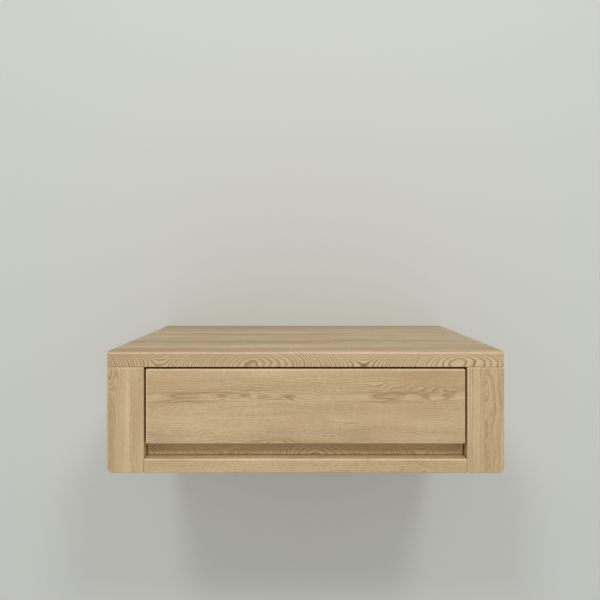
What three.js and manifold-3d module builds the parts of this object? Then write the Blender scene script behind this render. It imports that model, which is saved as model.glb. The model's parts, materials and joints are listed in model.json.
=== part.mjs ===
// Wall-hung bedside cabinet with one drawer, in solid pale oak, on ball-bearing slides.
// Millimetres. +Z is up, the drawer opens towards -Y, and the wall is the plane Y = 0.
// Pieces are drawn with Z counted from the underside of the sides. The group at the end moves
// the origin to the middle of the wall rail's back face.
import * as THREE from 'three';
import { mergeVertices } from 'three/addons/utils/BufferGeometryUtils.js';
import Module from 'manifold-3d';

const wasm = await Module();
wasm.setup();

// Cabinet boards
const width = 500;
const depth = 400;
const topThickness = 20.4;
const sideThickness = 46.5;
const sideHeight = 133.4;
const bottomThickness = 18;
const glueLine = 0.1;

// Rounded and eased edges
const topEdgeRadius = 3;
const sideCornerRadius = 7.5;
const frontCornerRadius = 2;
const bottomEdgeRadius = 2;
const easedEdge = 1.2;
const drawerEdge = 2;
const boxFrontEdge = 2.5;
const roundSteps = 5;
const easedSteps = 2;

// Back panel and its grooves
const backThickness = 8;
const backGrooveDepth = 6;
const panelFit = 0.25;

// Hanging rails
const railThickness = 18;
const railBevelAngle = Math.PI / 4;
const cabinetRailHeight = 30;
const wallRailHeight = 60;
const wallRailEndGap = 3.5;
const railFit = 0.3;
const wallGap = 0.5;
const wallHoleCount = 4;
const wallHoleInset = 35;
const wallHoleRadius = 2.75;
const wallHoleSinkRadius = 5.5;

// Dowels
const dowelRadius = 4;
const dowelLength = 30;
const dowelChamfer = 1;
const dowelFit = 0.15;
const dowelEndSpace = 1;
const dowelRowCount = 3;
const dowelRowInset = 52;
const topDowelShare = 0.65;
const railDowelShares = [0.26, 0.67];

// Drawer front and finger recess
const frontThickness = 18;
const frontGap = 2.4;
const recessHeight = 18.6;
const pullGrooveDepth = 8;
const pullGrooveHeight = 12;
const pullGrooveRadius = 4;

// Drawer box
const boxFrontThickness = 16;
const boxFrontSideGap = 0.9;
const boxFrontFloorGap = 0.5;
const boxSideThickness = 12;
const boxTopSpace = 23.4;
const boxSideLift = 7.2;
const boxBackInset = 10;
const boxHousingDepth = 6;
const boxBackHousingDepth = 4;
const boxBottomThickness = 6;
const boxBottomLift = 9;
const boxSideOverrun = 6;

// Drawer slides: three members bent from sheet, with two ball cages between them
const slideBackSpace = 37.6;
const slideHeight = 35;
const drawerFlangeLength = 5.2;
const slideSetback = 2;
const slideSeat = 0.1;
const outerSheet = 1.2;
const middleSheet = 1;
const innerSheet = 1.2;
const cageSheet = 0.7;
const cageFit = 0.3;
const cageEndSpace = 14;
const ballRadius = 1.7;
const ballFit = 0.2;
const lipFit = 0.6;
const lipLength = 2.1;
const outerLipFit = 1;
const bendSize = 0.9;
const accessHoleRadius = 4.5;
const ballsInRow = 5;
const ballSides = 6;
const ballRings = 4;

// Screws
const slideScrewRadius = 1.75;
const slideScrewHeadRadius = 3.5;
const slideScrewHeadHeight = 1.3;
const outerScrewLength = 16;
const innerScrewShare = 0.68;
const frontScrewRadius = 2;
const frontScrewHeadRadius = 4.2;
const frontScrewHeadHeight = 2.4;
const frontScrewShare = 0.66;
const frontScrewInset = 58.8;
const frontScrewLevelShares = [0.34, 0.86];
const screwTipShare = 0.22;
const screwFit = 0.2;
const screwSeat = 0.05;
const outerScrewShares = [0.12, 0.5, 0.88];
const innerScrewShares = [0.15, 0.85];
const roundSides = 12;

// How far a cutter runs past the face that it cuts
const overrun = 2;

// Places across one slide: u runs from the cabinet side to the drawer side, v is the height from
// the slide's middle. Each is the middle of its bent sheet, or of its balls.
const outerWebU = slideSeat + outerSheet / 2;
const outerCageWebU = outerWebU + (outerSheet + cageSheet) / 2 + slideScrewHeadHeight + cageFit;
const middleWebU = outerCageWebU + (cageSheet + middleSheet) / 2 + cageFit;
const innerCageWebU = middleWebU + (middleSheet + cageSheet) / 2 + cageFit;
const innerFlangeU = innerCageWebU + cageSheet / 2 + cageFit;
const innerWebU = innerFlangeU + drawerFlangeLength + innerSheet / 2;
const slideSpace = innerWebU + innerSheet / 2 + slideSeat;
const middleLipU = innerWebU - (innerSheet + middleSheet) / 2 - lipFit;
const outerLipU = slideSpace - outerLipFit - outerSheet / 2;
const outerBallU = outerLipU - outerSheet / 2 - cageFit - ballRadius;
const innerBallU = middleLipU - middleSheet / 2 - cageFit - ballRadius;
const outerFlangeV = (slideHeight - outerSheet) / 2;
const outerBallV = outerFlangeV - outerSheet / 2 - ballFit - ballRadius;
const middleFlangeV = outerBallV - ballRadius - ballFit - middleSheet / 2;
const innerBallV = middleFlangeV - middleSheet / 2 - ballFit - ballRadius;
const innerFlangeV = innerBallV - ballRadius - ballFit - innerSheet / 2;

// Places that several pieces share
const halfWidth = width / 2;
const halfOpening = halfWidth - sideThickness;
const openingTop = sideHeight + glueLine;
const topLevel = openingTop + topThickness;
const frontFace = -depth;
const backPanelBack = -(railThickness + railFit);
const backPanelFront = backPanelBack - backThickness;
const railDrop = railThickness * Math.tan(railBevelAngle);
const wallRailTop = sideHeight - cabinetRailHeight - railFit;
const wallRailBottom = wallRailTop - wallRailHeight;
const wallRailMiddle = (wallRailBottom + wallRailTop - railDrop) / 2;
const wallRailEnd = halfOpening - wallRailEndGap;

const frontHalfWidth = halfOpening - frontGap;
const frontBottom = bottomThickness + recessHeight;
const frontTop = openingTop - frontGap;
const boxFrontFace = frontFace + frontThickness + glueLine;
const boxFrontBack = boxFrontFace + boxFrontThickness;
const boxFrontBottom = bottomThickness + boxFrontFloorGap;
const boxFrontHalfWidth = halfOpening - boxFrontSideGap;
const boxSideOuter = halfOpening - slideSpace;
const boxSideInner = boxSideOuter - boxSideThickness;
const boxSideBottom = boxFrontBottom + boxSideLift;
const boxSideTop = openingTop - boxTopSpace;
const boxBottomLow = boxSideBottom + boxBottomLift;
const boxBottomHigh = boxBottomLow + boxBottomThickness;
const slideFront = boxFrontBack + slideSetback;
const slideBack = backPanelFront - slideBackSpace;
const slideLength = slideBack - slideFront;
const slideTravel = slideLength;
const cageLength = slideLength - slideTravel / 2 - cageEndSpace;
const boxSideBack = slideBack + boxSideOverrun;
const boxBackBack = boxSideBack - boxBackInset;
const boxBackFront = boxBackBack - boxSideThickness;
const slideMiddle = (boxSideBottom + boxSideTop) / 2;
const innerScrewLength = slideSeat + innerSheet + boxSideThickness * innerScrewShare;
const frontScrewLength = boxFrontThickness + glueLine + frontThickness * frontScrewShare;

// Materials, one for each mesh
function oak() {
  return new THREE.MeshStandardMaterial({ color: 0xbba27e, roughness: 0.52, metalness: 0 });
}

function birch() {
  return new THREE.MeshStandardMaterial({ color: 0xc9b48f, roughness: 0.6, metalness: 0 });
}

function pine() {
  return new THREE.MeshStandardMaterial({ color: 0xc8a877, roughness: 0.7, metalness: 0 });
}

function beech() {
  return new THREE.MeshStandardMaterial({ color: 0xc09a73, roughness: 0.65, metalness: 0 });
}

function zincSteel() {
  return new THREE.MeshStandardMaterial({ color: 0xb4b7b9, roughness: 0.35, metalness: 1 });
}

function cageSteel() {
  return new THREE.MeshStandardMaterial({ color: 0x9a9c9e, roughness: 0.3, metalness: 1 });
}

function screwSteel() {
  return new THREE.MeshStandardMaterial({ color: 0xc2bda9, roughness: 0.38, metalness: 1 });
}

// Solids and meshes

/** Turns a closed geometry into a solid that can be cut and joined. */
function solid(geometry) {
  const bare = geometry.clone();
  bare.deleteAttribute('normal');
  bare.deleteAttribute('uv');
  const merged = mergeVertices(bare);
  const vertProperties = Float32Array.from(merged.attributes.position.array);
  const triVerts = Uint32Array.from(merged.index.array);
  return new wasm.Manifold(new wasm.Mesh({ numProp: 3, vertProperties, triVerts }));
}

/** Turns a solid back into a geometry. */
function geometryOf(body) {
  const mesh = body.getMesh();
  const geometry = new THREE.BufferGeometry();
  geometry.setAttribute('position', new THREE.BufferAttribute(mesh.vertProperties, 3));
  geometry.setIndex(new THREE.BufferAttribute(mesh.triVerts, 1));
  geometry.computeVertexNormals();
  return geometry;
}

/** Takes a list of geometries out of a solid. */
function cut(body, cutters) {
  return cutters.reduce((rest, cutter) => rest.subtract(solid(cutter)), body);
}

/** Names a body drawn in place, and stands its mesh at the body's own centre. */
function piece(name, body, material) {
  const geometry = body.isBufferGeometry ? body : geometryOf(body);
  geometry.computeBoundingBox();
  const centre = geometry.boundingBox.getCenter(new THREE.Vector3());
  geometry.translate(-centre.x, -centre.y, -centre.z);
  const mesh = new THREE.Mesh(geometry, material);
  mesh.name = name;
  mesh.position.copy(centre);
  return mesh;
}

const xAxis = new THREE.Vector3(1, 0, 0);
const yAxis = new THREE.Vector3(0, 1, 0);
const zAxis = new THREE.Vector3(0, 0, 1);

// For the axis that an outline is extruded along: the two axes it is drawn in, then that axis
const drawnIn = { x: [yAxis, zAxis, xAxis], y: [zAxis, xAxis, yAxis], z: [xAxis, yAxis, zAxis] };

/** Extrudes an outline along an axis, from low to high. */
function prism(points, axis, low, high) {
  const shape = new THREE.Shape(points.map(([a, b]) => new THREE.Vector2(a, b)));
  const geometry = new THREE.ExtrudeGeometry(shape, { depth: high - low, bevelEnabled: false });
  geometry.translate(0, 0, low);
  return geometry.applyMatrix4(new THREE.Matrix4().makeBasis(...drawnIn[axis]));
}

/** Box between two corners. */
function block([x0, y0, z0], [x1, y1, z1]) {
  return prism([[x0, y0], [x1, y0], [x1, y1], [x0, y1]], 'z', z0, z1);
}

/**
 * Rectangle between two corners, with a radius at each corner in the order
 * low-low, high-low, high-high, low-high.
 */
function roundedOutline([a0, b0], [a1, b1], radii) {
  const limit = Math.min(a1 - a0, b1 - b0) / 2;
  const corners = [[a0, b0, 1, 1], [a1, b0, -1, 1], [a1, b1, -1, -1], [a0, b1, 1, -1]];
  return corners.flatMap(([a, b, inA, inB], index) => {
    const radius = Math.min(radii[index], limit);
    if (radius === 0) return [[a, b]];
    const steps = radius > easedEdge ? roundSteps : easedSteps;
    const start = Math.PI + index * Math.PI / 2;
    return Array.from({ length: steps + 1 }, (_, step) => {
      const angle = start + step / steps * Math.PI / 2;
      return [a + radius * (inA + Math.cos(angle)), b + radius * (inB + Math.sin(angle))];
    });
  });
}

const eased = [easedEdge, easedEdge, easedEdge, easedEdge];

/** Board between two corners; edges gives the radii of the edges that run along each axis. */
function board(low, high, edges) {
  const [x, y, z] = [0, 1, 2];
  const flat = (a, b, radii) => roundedOutline([low[a], low[b]], [high[a], high[b]], radii);
  const alongX = prism(flat(y, z, edges.x ?? eased), 'x', low[x], high[x]);
  const alongY = prism(flat(z, x, edges.y ?? eased), 'y', low[y], high[y]);
  const alongZ = prism(flat(x, y, edges.z ?? eased), 'z', low[z], high[z]);
  return solid(alongX).intersect(solid(alongY)).intersect(solid(alongZ));
}

/** Turned shape around +Z, from its profile of radius and height. */
function turned(profile) {
  const points = profile.map(([radius, height]) => new THREE.Vector2(radius, height));
  return new THREE.LatheGeometry(points, roundSides).rotateX(Math.PI / 2);
}

/** Round hole along an axis, from low to high, through the point (a, b) of the plane across it. */
function hole(axis, [a, b], radius, low, high) {
  const rod = turned([[0, low], [radius, low], [radius, high], [0, high]]).translate(a, b, 0);
  return rod.applyMatrix4(new THREE.Matrix4().makeBasis(...drawnIn[axis]));
}

/** Mirrors a solid drawn on the right to the given side. */
function onSide(side, body) {
  return side > 0 ? body : body.mirror([1, 0, 0]);
}

// Fasteners

/** Places of the dowels from front to back. */
const dowelRow = Array.from({ length: dowelRowCount }, (_, index) =>
  frontFace + dowelRowInset + index * (depth - 2 * dowelRowInset) / (dowelRowCount - 1));
const railMiddleHeight = cabinetRailHeight + railDrop / 2;
const railDowelLevels = railDowelShares.map((share) => sideHeight - share * railMiddleHeight);
const dowelHoleRadius = dowelRadius + dowelFit;
const topDowelTop = openingTop + topThickness * topDowelShare;
const topDowelBottom = topDowelTop - dowelLength;
const sideDowelX = halfWidth - sideThickness / 2;

function dowelGeometry() {
  const half = dowelLength / 2;
  const endRadius = dowelRadius - dowelChamfer;
  return turned([
    [0, -half],
    [endRadius, -half],
    [dowelRadius, dowelChamfer - half],
    [dowelRadius, half - dowelChamfer],
    [endRadius, half],
    [0, half],
  ]);
}

/** Dowel at a point, leaning from upright by an angle about Y. */
function dowel(name, position, lean) {
  const mesh = new THREE.Mesh(dowelGeometry(), beech());
  mesh.name = name;
  mesh.position.set(...position);
  mesh.rotation.y = lean;
  return mesh;
}

/** Pan-head wood screw along +Z: its head stands on the plane Z = 0 and its tip points down. */
function screwGeometry(radius, length, headRadius, headHeight) {
  const tip = -length * screwTipShare;
  const crown = headHeight / 2;
  return turned([
    [0, -length],
    [radius / 2, -length - tip / 2],
    [radius, -length - tip],
    [radius, 0],
    [headRadius, 0],
    [headRadius, crown],
    [headRadius - crown, headHeight],
    [0, headHeight],
  ]);
}

/** Screw whose head stands at a point and whose tip points along +X, -X or -Y. */
function screw(name, geometry, position, towards) {
  const mesh = new THREE.Mesh(geometry, screwSteel());
  mesh.name = name;
  mesh.position.set(...position);
  mesh.quaternion.setFromUnitVectors(new THREE.Vector3(0, 0, -1), towards);
  return mesh;
}

/** Place along Y at a share of the slides' length. */
function alongSlideLength(share) {
  return slideFront + slideLength * share;
}

// Cabinet

/** Groove for the back panel, as one block that cuts every board it meets. */
function backGroove() {
  const reach = backGrooveDepth + panelFit;
  return block(
    [-halfOpening - reach, backPanelFront - panelFit, bottomThickness - reach],
    [halfOpening + reach, backPanelBack + panelFit, openingTop + reach],
  );
}

function topPanel() {
  const body = board([-halfWidth, frontFace, openingTop], [halfWidth, 0, topLevel], {
    x: [easedEdge, easedEdge, easedEdge, topEdgeRadius],
    y: [easedEdge, topEdgeRadius, topEdgeRadius, easedEdge],
    z: [frontCornerRadius, frontCornerRadius, easedEdge, easedEdge],
  });
  const holes = [-1, 1].flatMap((side) => dowelRow.map((y) =>
    hole('z', [side * sideDowelX, y], dowelHoleRadius, sideHeight, topDowelTop + dowelEndSpace)));
  return piece('top_panel', cut(body, [...holes, backGroove()]), oak());
}

function sidePanel(name, side) {
  const body = board([halfOpening, frontFace, 0], [halfWidth, 0, sideHeight], {
    y: [easedEdge, easedEdge, easedEdge, sideCornerRadius],
    z: [easedEdge, frontCornerRadius, easedEdge, easedEdge],
  });
  const sideEnd = halfOpening + dowelLength / 2 + dowelEndSpace;
  const inner = halfOpening - overrun;
  const topHoles = dowelRow.map((y) =>
    hole('z', [sideDowelX, y], dowelHoleRadius, topDowelBottom - dowelEndSpace, openingTop));
  const bottomHoles = dowelRow.map((y) =>
    hole('x', [y, bottomThickness / 2], dowelHoleRadius, inner, sideEnd));
  const railHoles = railDowelLevels.map((z) =>
    hole('x', [-railThickness / 2, z], dowelHoleRadius, inner, sideEnd));
  const screwEnd = halfOpening - slideSeat - outerSheet + outerScrewLength + screwFit;
  const screwHoles = outerScrewShares.map((share) => {
    const place = [alongSlideLength(share), slideMiddle];
    return hole('x', place, slideScrewRadius + screwFit, inner, screwEnd);
  });
  const cutters = [...topHoles, ...bottomHoles, ...railHoles, ...screwHoles, backGroove()];
  return piece(name, onSide(side, cut(body, cutters)), oak());
}

function bottomPanel() {
  const end = halfOpening - glueLine;
  const body = board([-end, frontFace, 0], [end, 0, bottomThickness], {
    x: [easedEdge, easedEdge, easedEdge, bottomEdgeRadius],
  });
  const reach = halfOpening - dowelLength / 2 - dowelEndSpace;
  const holes = [-1, 1].flatMap((side) => dowelRow.map((y) => {
    const [low, high] = side > 0 ? [reach, halfOpening] : [-halfOpening, -reach];
    return hole('x', [y, bottomThickness / 2], dowelHoleRadius, low, high);
  }));
  return piece('bottom_panel', cut(body, [...holes, backGroove()]), oak());
}

function backPanel() {
  const body = block(
    [-halfOpening - backGrooveDepth, backPanelFront, bottomThickness - backGrooveDepth],
    [halfOpening + backGrooveDepth, backPanelBack, openingTop + backGrooveDepth],
  );
  return piece('back_panel', body, birch());
}

/** Rail under the top: its lower edge is bevelled and hooks behind the wall rail. */
function cabinetRail() {
  const low = sideHeight - cabinetRailHeight;
  const backLow = low - railDrop + wallGap * Math.tan(railBevelAngle);
  const outline = [
    [-railThickness, low],
    [-wallGap, backLow],
    [-wallGap, sideHeight],
    [-railThickness, sideHeight],
  ];
  const end = halfOpening - glueLine;
  const reach = halfOpening - dowelLength / 2 - dowelEndSpace;
  const holes = railDowelLevels.flatMap((z) => [
    hole('x', [-railThickness / 2, z], dowelHoleRadius, reach, halfOpening),
    hole('x', [-railThickness / 2, z], dowelHoleRadius, -halfOpening, -reach),
  ]);
  return piece('cabinet_rail', cut(solid(prism(outline, 'x', -end, end)), holes), pine());
}

/** Rail on the wall, with a row of countersunk screw holes. */
function wallRail() {
  const outline = [
    [-railThickness, wallRailBottom],
    [0, wallRailBottom],
    [0, wallRailTop - railDrop],
    [-railThickness, wallRailTop],
  ];
  const sinkDepth = wallHoleSinkRadius - wallHoleRadius;
  const holes = Array.from({ length: wallHoleCount }, (_, index) => {
    const x = (wallRailEnd - wallHoleInset) * (2 * index / (wallHoleCount - 1) - 1);
    const cutter = turned([
      [0, -railThickness - overrun],
      [wallHoleSinkRadius, -railThickness - overrun],
      [wallHoleSinkRadius, -railThickness],
      [wallHoleRadius, sinkDepth - railThickness],
      [wallHoleRadius, overrun],
      [0, overrun],
    ]);
    cutter.translate(wallRailMiddle, x, 0);
    return cutter.applyMatrix4(new THREE.Matrix4().makeBasis(...drawnIn.y));
  });
  return piece('wall_rail', cut(solid(prism(outline, 'x', -wallRailEnd, wallRailEnd)), holes), pine());
}

/** Dowels of one side: into the top, into the bottom and into the cabinet rail. */
function sideDowels(name, side) {
  const topMiddle = (topDowelTop + topDowelBottom) / 2;
  const joint = side * halfOpening;
  return [
    ...dowelRow.map((y, index) =>
      dowel(`${name}_top_dowel_${index + 1}`, [side * sideDowelX, y, topMiddle], 0)),
    ...dowelRow.map((y, index) =>
      dowel(`${name}_bottom_dowel_${index + 1}`, [joint, y, bottomThickness / 2], Math.PI / 2)),
    ...railDowelLevels.map((z, index) =>
      dowel(`${name}_rail_dowel_${index + 1}`, [joint, -railThickness / 2, z], Math.PI / 2)),
  ];
}

// Drawer

const frontScrewPlaces = [-1, 1].flatMap((side) => frontScrewLevelShares.map((share) =>
  [side * (boxSideInner - frontScrewInset), boxBottomHigh + share * (boxSideTop - boxBottomHigh)]));

/** Flush front, with a finger groove along the lower edge of its back. */
function drawerFront() {
  const back = frontFace + frontThickness;
  const body = board([-frontHalfWidth, frontFace, frontBottom], [frontHalfWidth, back, frontTop], {
    x: [drawerEdge, easedEdge, easedEdge, drawerEdge],
    y: [drawerEdge, drawerEdge, drawerEdge, drawerEdge],
    z: [drawerEdge, drawerEdge, easedEdge, easedEdge],
  });
  const groove = prism(
    roundedOutline(
      [back - pullGrooveDepth, frontBottom - overrun],
      [back + overrun, frontBottom + pullGrooveHeight],
      [0, 0, 0, pullGrooveRadius],
    ),
    'x',
    -frontHalfWidth - overrun,
    frontHalfWidth + overrun,
  );
  const holeStart = boxFrontBack - frontScrewLength - screwFit;
  const holes = frontScrewPlaces.map(([x, z]) =>
    hole('y', [z, x], frontScrewRadius + screwFit, holeStart, back + overrun));
  return piece('drawer_front', cut(body, [groove, ...holes]), oak());
}

/** Space of one drawer side where it is housed in the box front. */
function sideHousing(side) {
  const [low, high] = [boxSideInner - panelFit, boxSideOuter + panelFit];
  const [from, to] = side > 0 ? [low, high] : [-high, -low];
  return block(
    [from, boxFrontBack - boxHousingDepth - panelFit, boxSideBottom - panelFit],
    [to, boxFrontBack + overrun, boxSideTop + panelFit],
  );
}

/** Groove for the drawer bottom, as one block that cuts the box front and both sides. */
function bottomGroove() {
  const reach = boxSideInner + boxHousingDepth + panelFit;
  return block(
    [-reach, boxFrontBack - boxHousingDepth - panelFit, boxBottomLow - panelFit],
    [reach, boxSideBack + overrun, boxBottomHigh + panelFit],
  );
}

function drawerBoxFront() {
  const body = board(
    [-boxFrontHalfWidth, boxFrontFace, boxFrontBottom],
    [boxFrontHalfWidth, boxFrontBack, frontTop],
    { x: [boxFrontEdge, easedEdge, easedEdge, easedEdge] },
  );
  const holes = frontScrewPlaces.map(([x, z]) =>
    hole('y', [z, x], frontScrewRadius + screwFit, boxFrontFace - overrun, boxFrontBack + overrun));
  const cutters = [sideHousing(-1), sideHousing(1), bottomGroove(), ...holes];
  return piece('drawer_box_front', cut(body, cutters), oak());
}

function drawerSide(name, side) {
  const body = board(
    [boxSideInner, boxFrontBack - boxHousingDepth, boxSideBottom],
    [boxSideOuter, boxSideBack, boxSideTop],
    { x: [0, easedEdge, easedEdge, 0], z: [0, 0, easedEdge, easedEdge] },
  );
  const backHousing = block(
    [boxSideInner - overrun, boxBackFront - panelFit, boxBottomLow],
    [boxSideInner + boxBackHousingDepth + panelFit, boxBackBack + panelFit, boxSideTop + overrun],
  );
  const screwStart = boxSideOuter + slideSeat + innerSheet - innerScrewLength - screwFit;
  const holes = innerScrewShares.map((share) => hole(
    'x',
    [alongSlideLength(share), slideMiddle],
    slideScrewRadius + screwFit,
    screwStart,
    boxSideOuter + overrun,
  ));
  return piece(name, onSide(side, cut(body, [bottomGroove(), backHousing, ...holes])), birch());
}

function drawerBack() {
  const end = boxSideInner + boxBackHousingDepth;
  const body = board(
    [-end, boxBackFront, boxBottomHigh + panelFit],
    [end, boxBackBack, boxSideTop],
    { y: [0, 0, 0, 0], z: [0, 0, 0, 0] },
  );
  return piece('drawer_back', body, birch());
}

function drawerBottom() {
  const end = boxSideInner + boxHousingDepth;
  const body = block(
    [-end, boxFrontBack - boxHousingDepth, boxBottomLow],
    [end, boxSideBack, boxBottomHigh],
  );
  return piece('drawer_bottom', body, birch());
}

function frontScrews() {
  return frontScrewPlaces.map(([x, z], index) => screw(
    `drawer_front_screw_${index + 1}`,
    screwGeometry(frontScrewRadius, frontScrewLength, frontScrewHeadRadius, frontScrewHeadHeight),
    [x, boxFrontBack + screwSeat, z],
    new THREE.Vector3(0, -1, 0),
  ));
}

// Slides

/** Outline of a sheet of even thickness bent along an open path of (u, v) points. */
function bentSheet(path, sheet) {
  const points = path.map(([u, v]) => new THREE.Vector2(u, v));
  const normals = points.slice(1).map((point, index) => {
    const along = point.clone().sub(points[index]).normalize();
    return new THREE.Vector2(-along.y, along.x);
  });
  const edge = (sign) => points.map((point, index) => {
    const before = normals[Math.max(index - 1, 0)];
    const after = normals[Math.min(index, normals.length - 1)];
    const middle = before.clone().add(after).normalize();
    const reach = sign * sheet / 2 / middle.dot(before);
    return point.clone().addScaledVector(middle, reach).toArray();
  });
  return [...edge(1), ...edge(-1).reverse()];
}

/**
 * Path of a channel: a web with a flange at each end and, if lip isn't 0, a lip on each flange
 * that turns back towards the middle. The bends are cut off at 45 degrees.
 */
function channelPath(webU, flangeV, tipU, lip) {
  const turn = Math.sign(tipU - webU) * bendSize;
  const half = [[webU, flangeV - bendSize], [webU + turn, flangeV]];
  if (lip === 0) {
    half.push([tipU, flangeV]);
  } else {
    half.push([tipU - turn, flangeV], [tipU, flangeV - bendSize], [tipU, flangeV - lip]);
  }
  return [...half.map(([u, v]) => [u, -v]).reverse(), ...half];
}

/** Extrudes a (u, v) outline along the slide on the right, between two places along Y. */
function alongSlide(outline, from, to) {
  const points = outline.map(([u, v]) => [slideMiddle + v, halfOpening - u]);
  return solid(prism(points, 'y', from, to));
}

function slideMember(name, side, path, sheet, cutters) {
  const body = alongSlide(bentSheet(path, sheet), slideFront, slideBack);
  return piece(name, onSide(side, cut(body, cutters)), zincSteel());
}

/** Holes through a slide's web, at shares of its length. */
function webHoles(shares, webU, radius) {
  const place = halfOpening - webU;
  return shares.map((share) => hole(
    'x',
    [alongSlideLength(share), slideMiddle],
    radius,
    place - overrun,
    place + overrun,
  ));
}

function cabinetMember(name, side) {
  const path = channelPath(outerWebU, outerFlangeV, outerLipU, lipLength);
  const holes = webHoles(outerScrewShares, outerWebU, slideScrewRadius + screwFit);
  return slideMember(`${name}_slide_cabinet_member`, side, path, outerSheet, holes);
}

/** Middle member, with access holes through which the cabinet member is screwed on. */
function middleMember(name, side) {
  const path = channelPath(middleWebU, middleFlangeV, middleLipU, lipLength);
  const holes = webHoles(outerScrewShares, middleWebU, accessHoleRadius);
  return slideMember(`${name}_slide_middle_member`, side, path, middleSheet, holes);
}

function drawerMember(name, side) {
  const path = channelPath(innerWebU, innerFlangeV, innerFlangeU, 0);
  const holes = webHoles(innerScrewShares, innerWebU, slideScrewRadius + screwFit);
  return slideMember(`${name}_slide_drawer_member`, side, path, innerSheet, holes);
}

/** Ball cage: a thin channel in the middle of the slide that carries two rows of balls. */
function ballCage(name, side, webU, ballU, ballV) {
  const middle = slideFront + slideLength / 2;
  const path = channelPath(webU, ballV, ballU + ballRadius / 2, 0);
  const sheet = alongSlide(bentSheet(path, cageSheet), middle - cageLength / 2, middle + cageLength / 2);
  const pitch = cageLength / ballsInRow;
  const balls = [-1, 1].flatMap((row) => Array.from({ length: ballsInRow }, (_, index) => {
    const ball = new THREE.SphereGeometry(ballRadius, ballSides, ballRings);
    const along = middle + (index - (ballsInRow - 1) / 2) * pitch;
    return solid(ball.rotateX(Math.PI / 2).translate(halfOpening - ballU, along, slideMiddle + row * ballV));
  }));
  return piece(name, onSide(side, balls.reduce((rest, ball) => rest.add(ball), sheet)), cageSteel());
}

function slide(name, side) {
  return [
    cabinetMember(name, side),
    middleMember(name, side),
    drawerMember(name, side),
    ballCage(`${name}_slide_outer_ball_cage`, side, outerCageWebU, outerBallU, outerBallV),
    ballCage(`${name}_slide_inner_ball_cage`, side, innerCageWebU, innerBallU, innerBallV),
    ...slideScrews(name, side),
  ];
}

/** Screws of one slide: outwards into the cabinet side, and inwards into the drawer side. */
function slideScrews(name, side) {
  const headHeight = slideScrewHeadHeight - screwSeat;
  const outerSeat = halfOpening - slideSeat - outerSheet - screwSeat;
  const innerSeat = boxSideOuter + slideSeat + innerSheet + screwSeat;
  const outer = outerScrewShares.map((share, index) => screw(
    `${name}_cabinet_slide_screw_${index + 1}`,
    screwGeometry(slideScrewRadius, outerScrewLength, slideScrewHeadRadius, headHeight),
    [side * outerSeat, alongSlideLength(share), slideMiddle],
    new THREE.Vector3(side, 0, 0),
  ));
  const inner = innerScrewShares.map((share, index) => screw(
    `${name}_drawer_slide_screw_${index + 1}`,
    screwGeometry(slideScrewRadius, innerScrewLength, slideScrewHeadRadius, headHeight),
    [side * innerSeat, alongSlideLength(share), slideMiddle],
    new THREE.Vector3(-side, 0, 0),
  ));
  return [...outer, ...inner];
}

// Assembly

/** Group of meshes that stand together. */
function assembly(meshes) {
  const members = new THREE.Group();
  members.add(...meshes);
  return members;
}

const cabinet = assembly([
  topPanel(),
  sidePanel('left_side', -1),
  sidePanel('right_side', 1),
  bottomPanel(),
  backPanel(),
  ...sideDowels('left', -1),
  ...sideDowels('right', 1),
]);
const hanging = assembly([cabinetRail(), wallRail()]);
const drawer = assembly([
  drawerFront(),
  drawerBoxFront(),
  drawerSide('drawer_left_side', -1),
  drawerSide('drawer_right_side', 1),
  drawerBack(),
  drawerBottom(),
  ...frontScrews(),
]);
const slides = assembly([...slide('left', -1), ...slide('right', 1)]);

const group = new THREE.Group();
group.add(cabinet, hanging, drawer, slides);
group.position.z = -wallRailMiddle;
export default group;
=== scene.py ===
"""Looks of a wall-hung bedside cabinet with one drawer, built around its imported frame.

Lengths are metres in the frame's own axes: +Z is up, the drawer opens towards -Y, and the
cabinet's back lies in the plane Y = 0. Lengths inside the shaders are millimetres.
"""

import json
import logging
import math
from dataclasses import dataclass, replace
from enum import Enum
from typing import Any, Iterable, Sequence, Union

import bpy
from mathutils import Matrix, Vector


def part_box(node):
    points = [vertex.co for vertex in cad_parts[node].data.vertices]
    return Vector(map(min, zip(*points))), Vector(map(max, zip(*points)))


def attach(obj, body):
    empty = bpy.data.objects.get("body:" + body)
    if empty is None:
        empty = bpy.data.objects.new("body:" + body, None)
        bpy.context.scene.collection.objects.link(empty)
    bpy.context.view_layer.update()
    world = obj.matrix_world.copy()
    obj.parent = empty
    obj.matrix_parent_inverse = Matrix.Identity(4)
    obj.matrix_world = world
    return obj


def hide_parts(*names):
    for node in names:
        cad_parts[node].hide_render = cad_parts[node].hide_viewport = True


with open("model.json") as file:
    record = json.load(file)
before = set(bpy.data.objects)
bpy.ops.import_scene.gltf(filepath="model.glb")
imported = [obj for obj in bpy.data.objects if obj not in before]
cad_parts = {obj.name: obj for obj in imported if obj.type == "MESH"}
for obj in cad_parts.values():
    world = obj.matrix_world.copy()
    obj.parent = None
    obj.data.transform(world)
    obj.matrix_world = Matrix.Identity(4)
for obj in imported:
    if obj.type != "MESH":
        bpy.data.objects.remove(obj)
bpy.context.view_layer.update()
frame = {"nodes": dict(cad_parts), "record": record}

LOG = logging.getLogger("cabinet")
MM = 0.001
# Edges between faces that meet at a larger angle than this, in degrees, stay sharp.
SHARP_ANGLE = 32.0
# A vertex counts as one at a shape's end when it is nearer to it than this share of a rounding.
END_SHARE = 0.1
# The figure of the boards comes again after this many millimetres to the right.
GRAIN_PITCH = 255.4
# The sockets of a Mix node that mixes colours.
MIX_SHARE, MIX_FIRST, MIX_SECOND, MIX_COLOUR = 0, 6, 7, 2

Colour = tuple[float, float, float]
Point = tuple[float, float, float]
Pair = tuple[float, float]
Radii = tuple[float, float, float, float]


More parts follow.
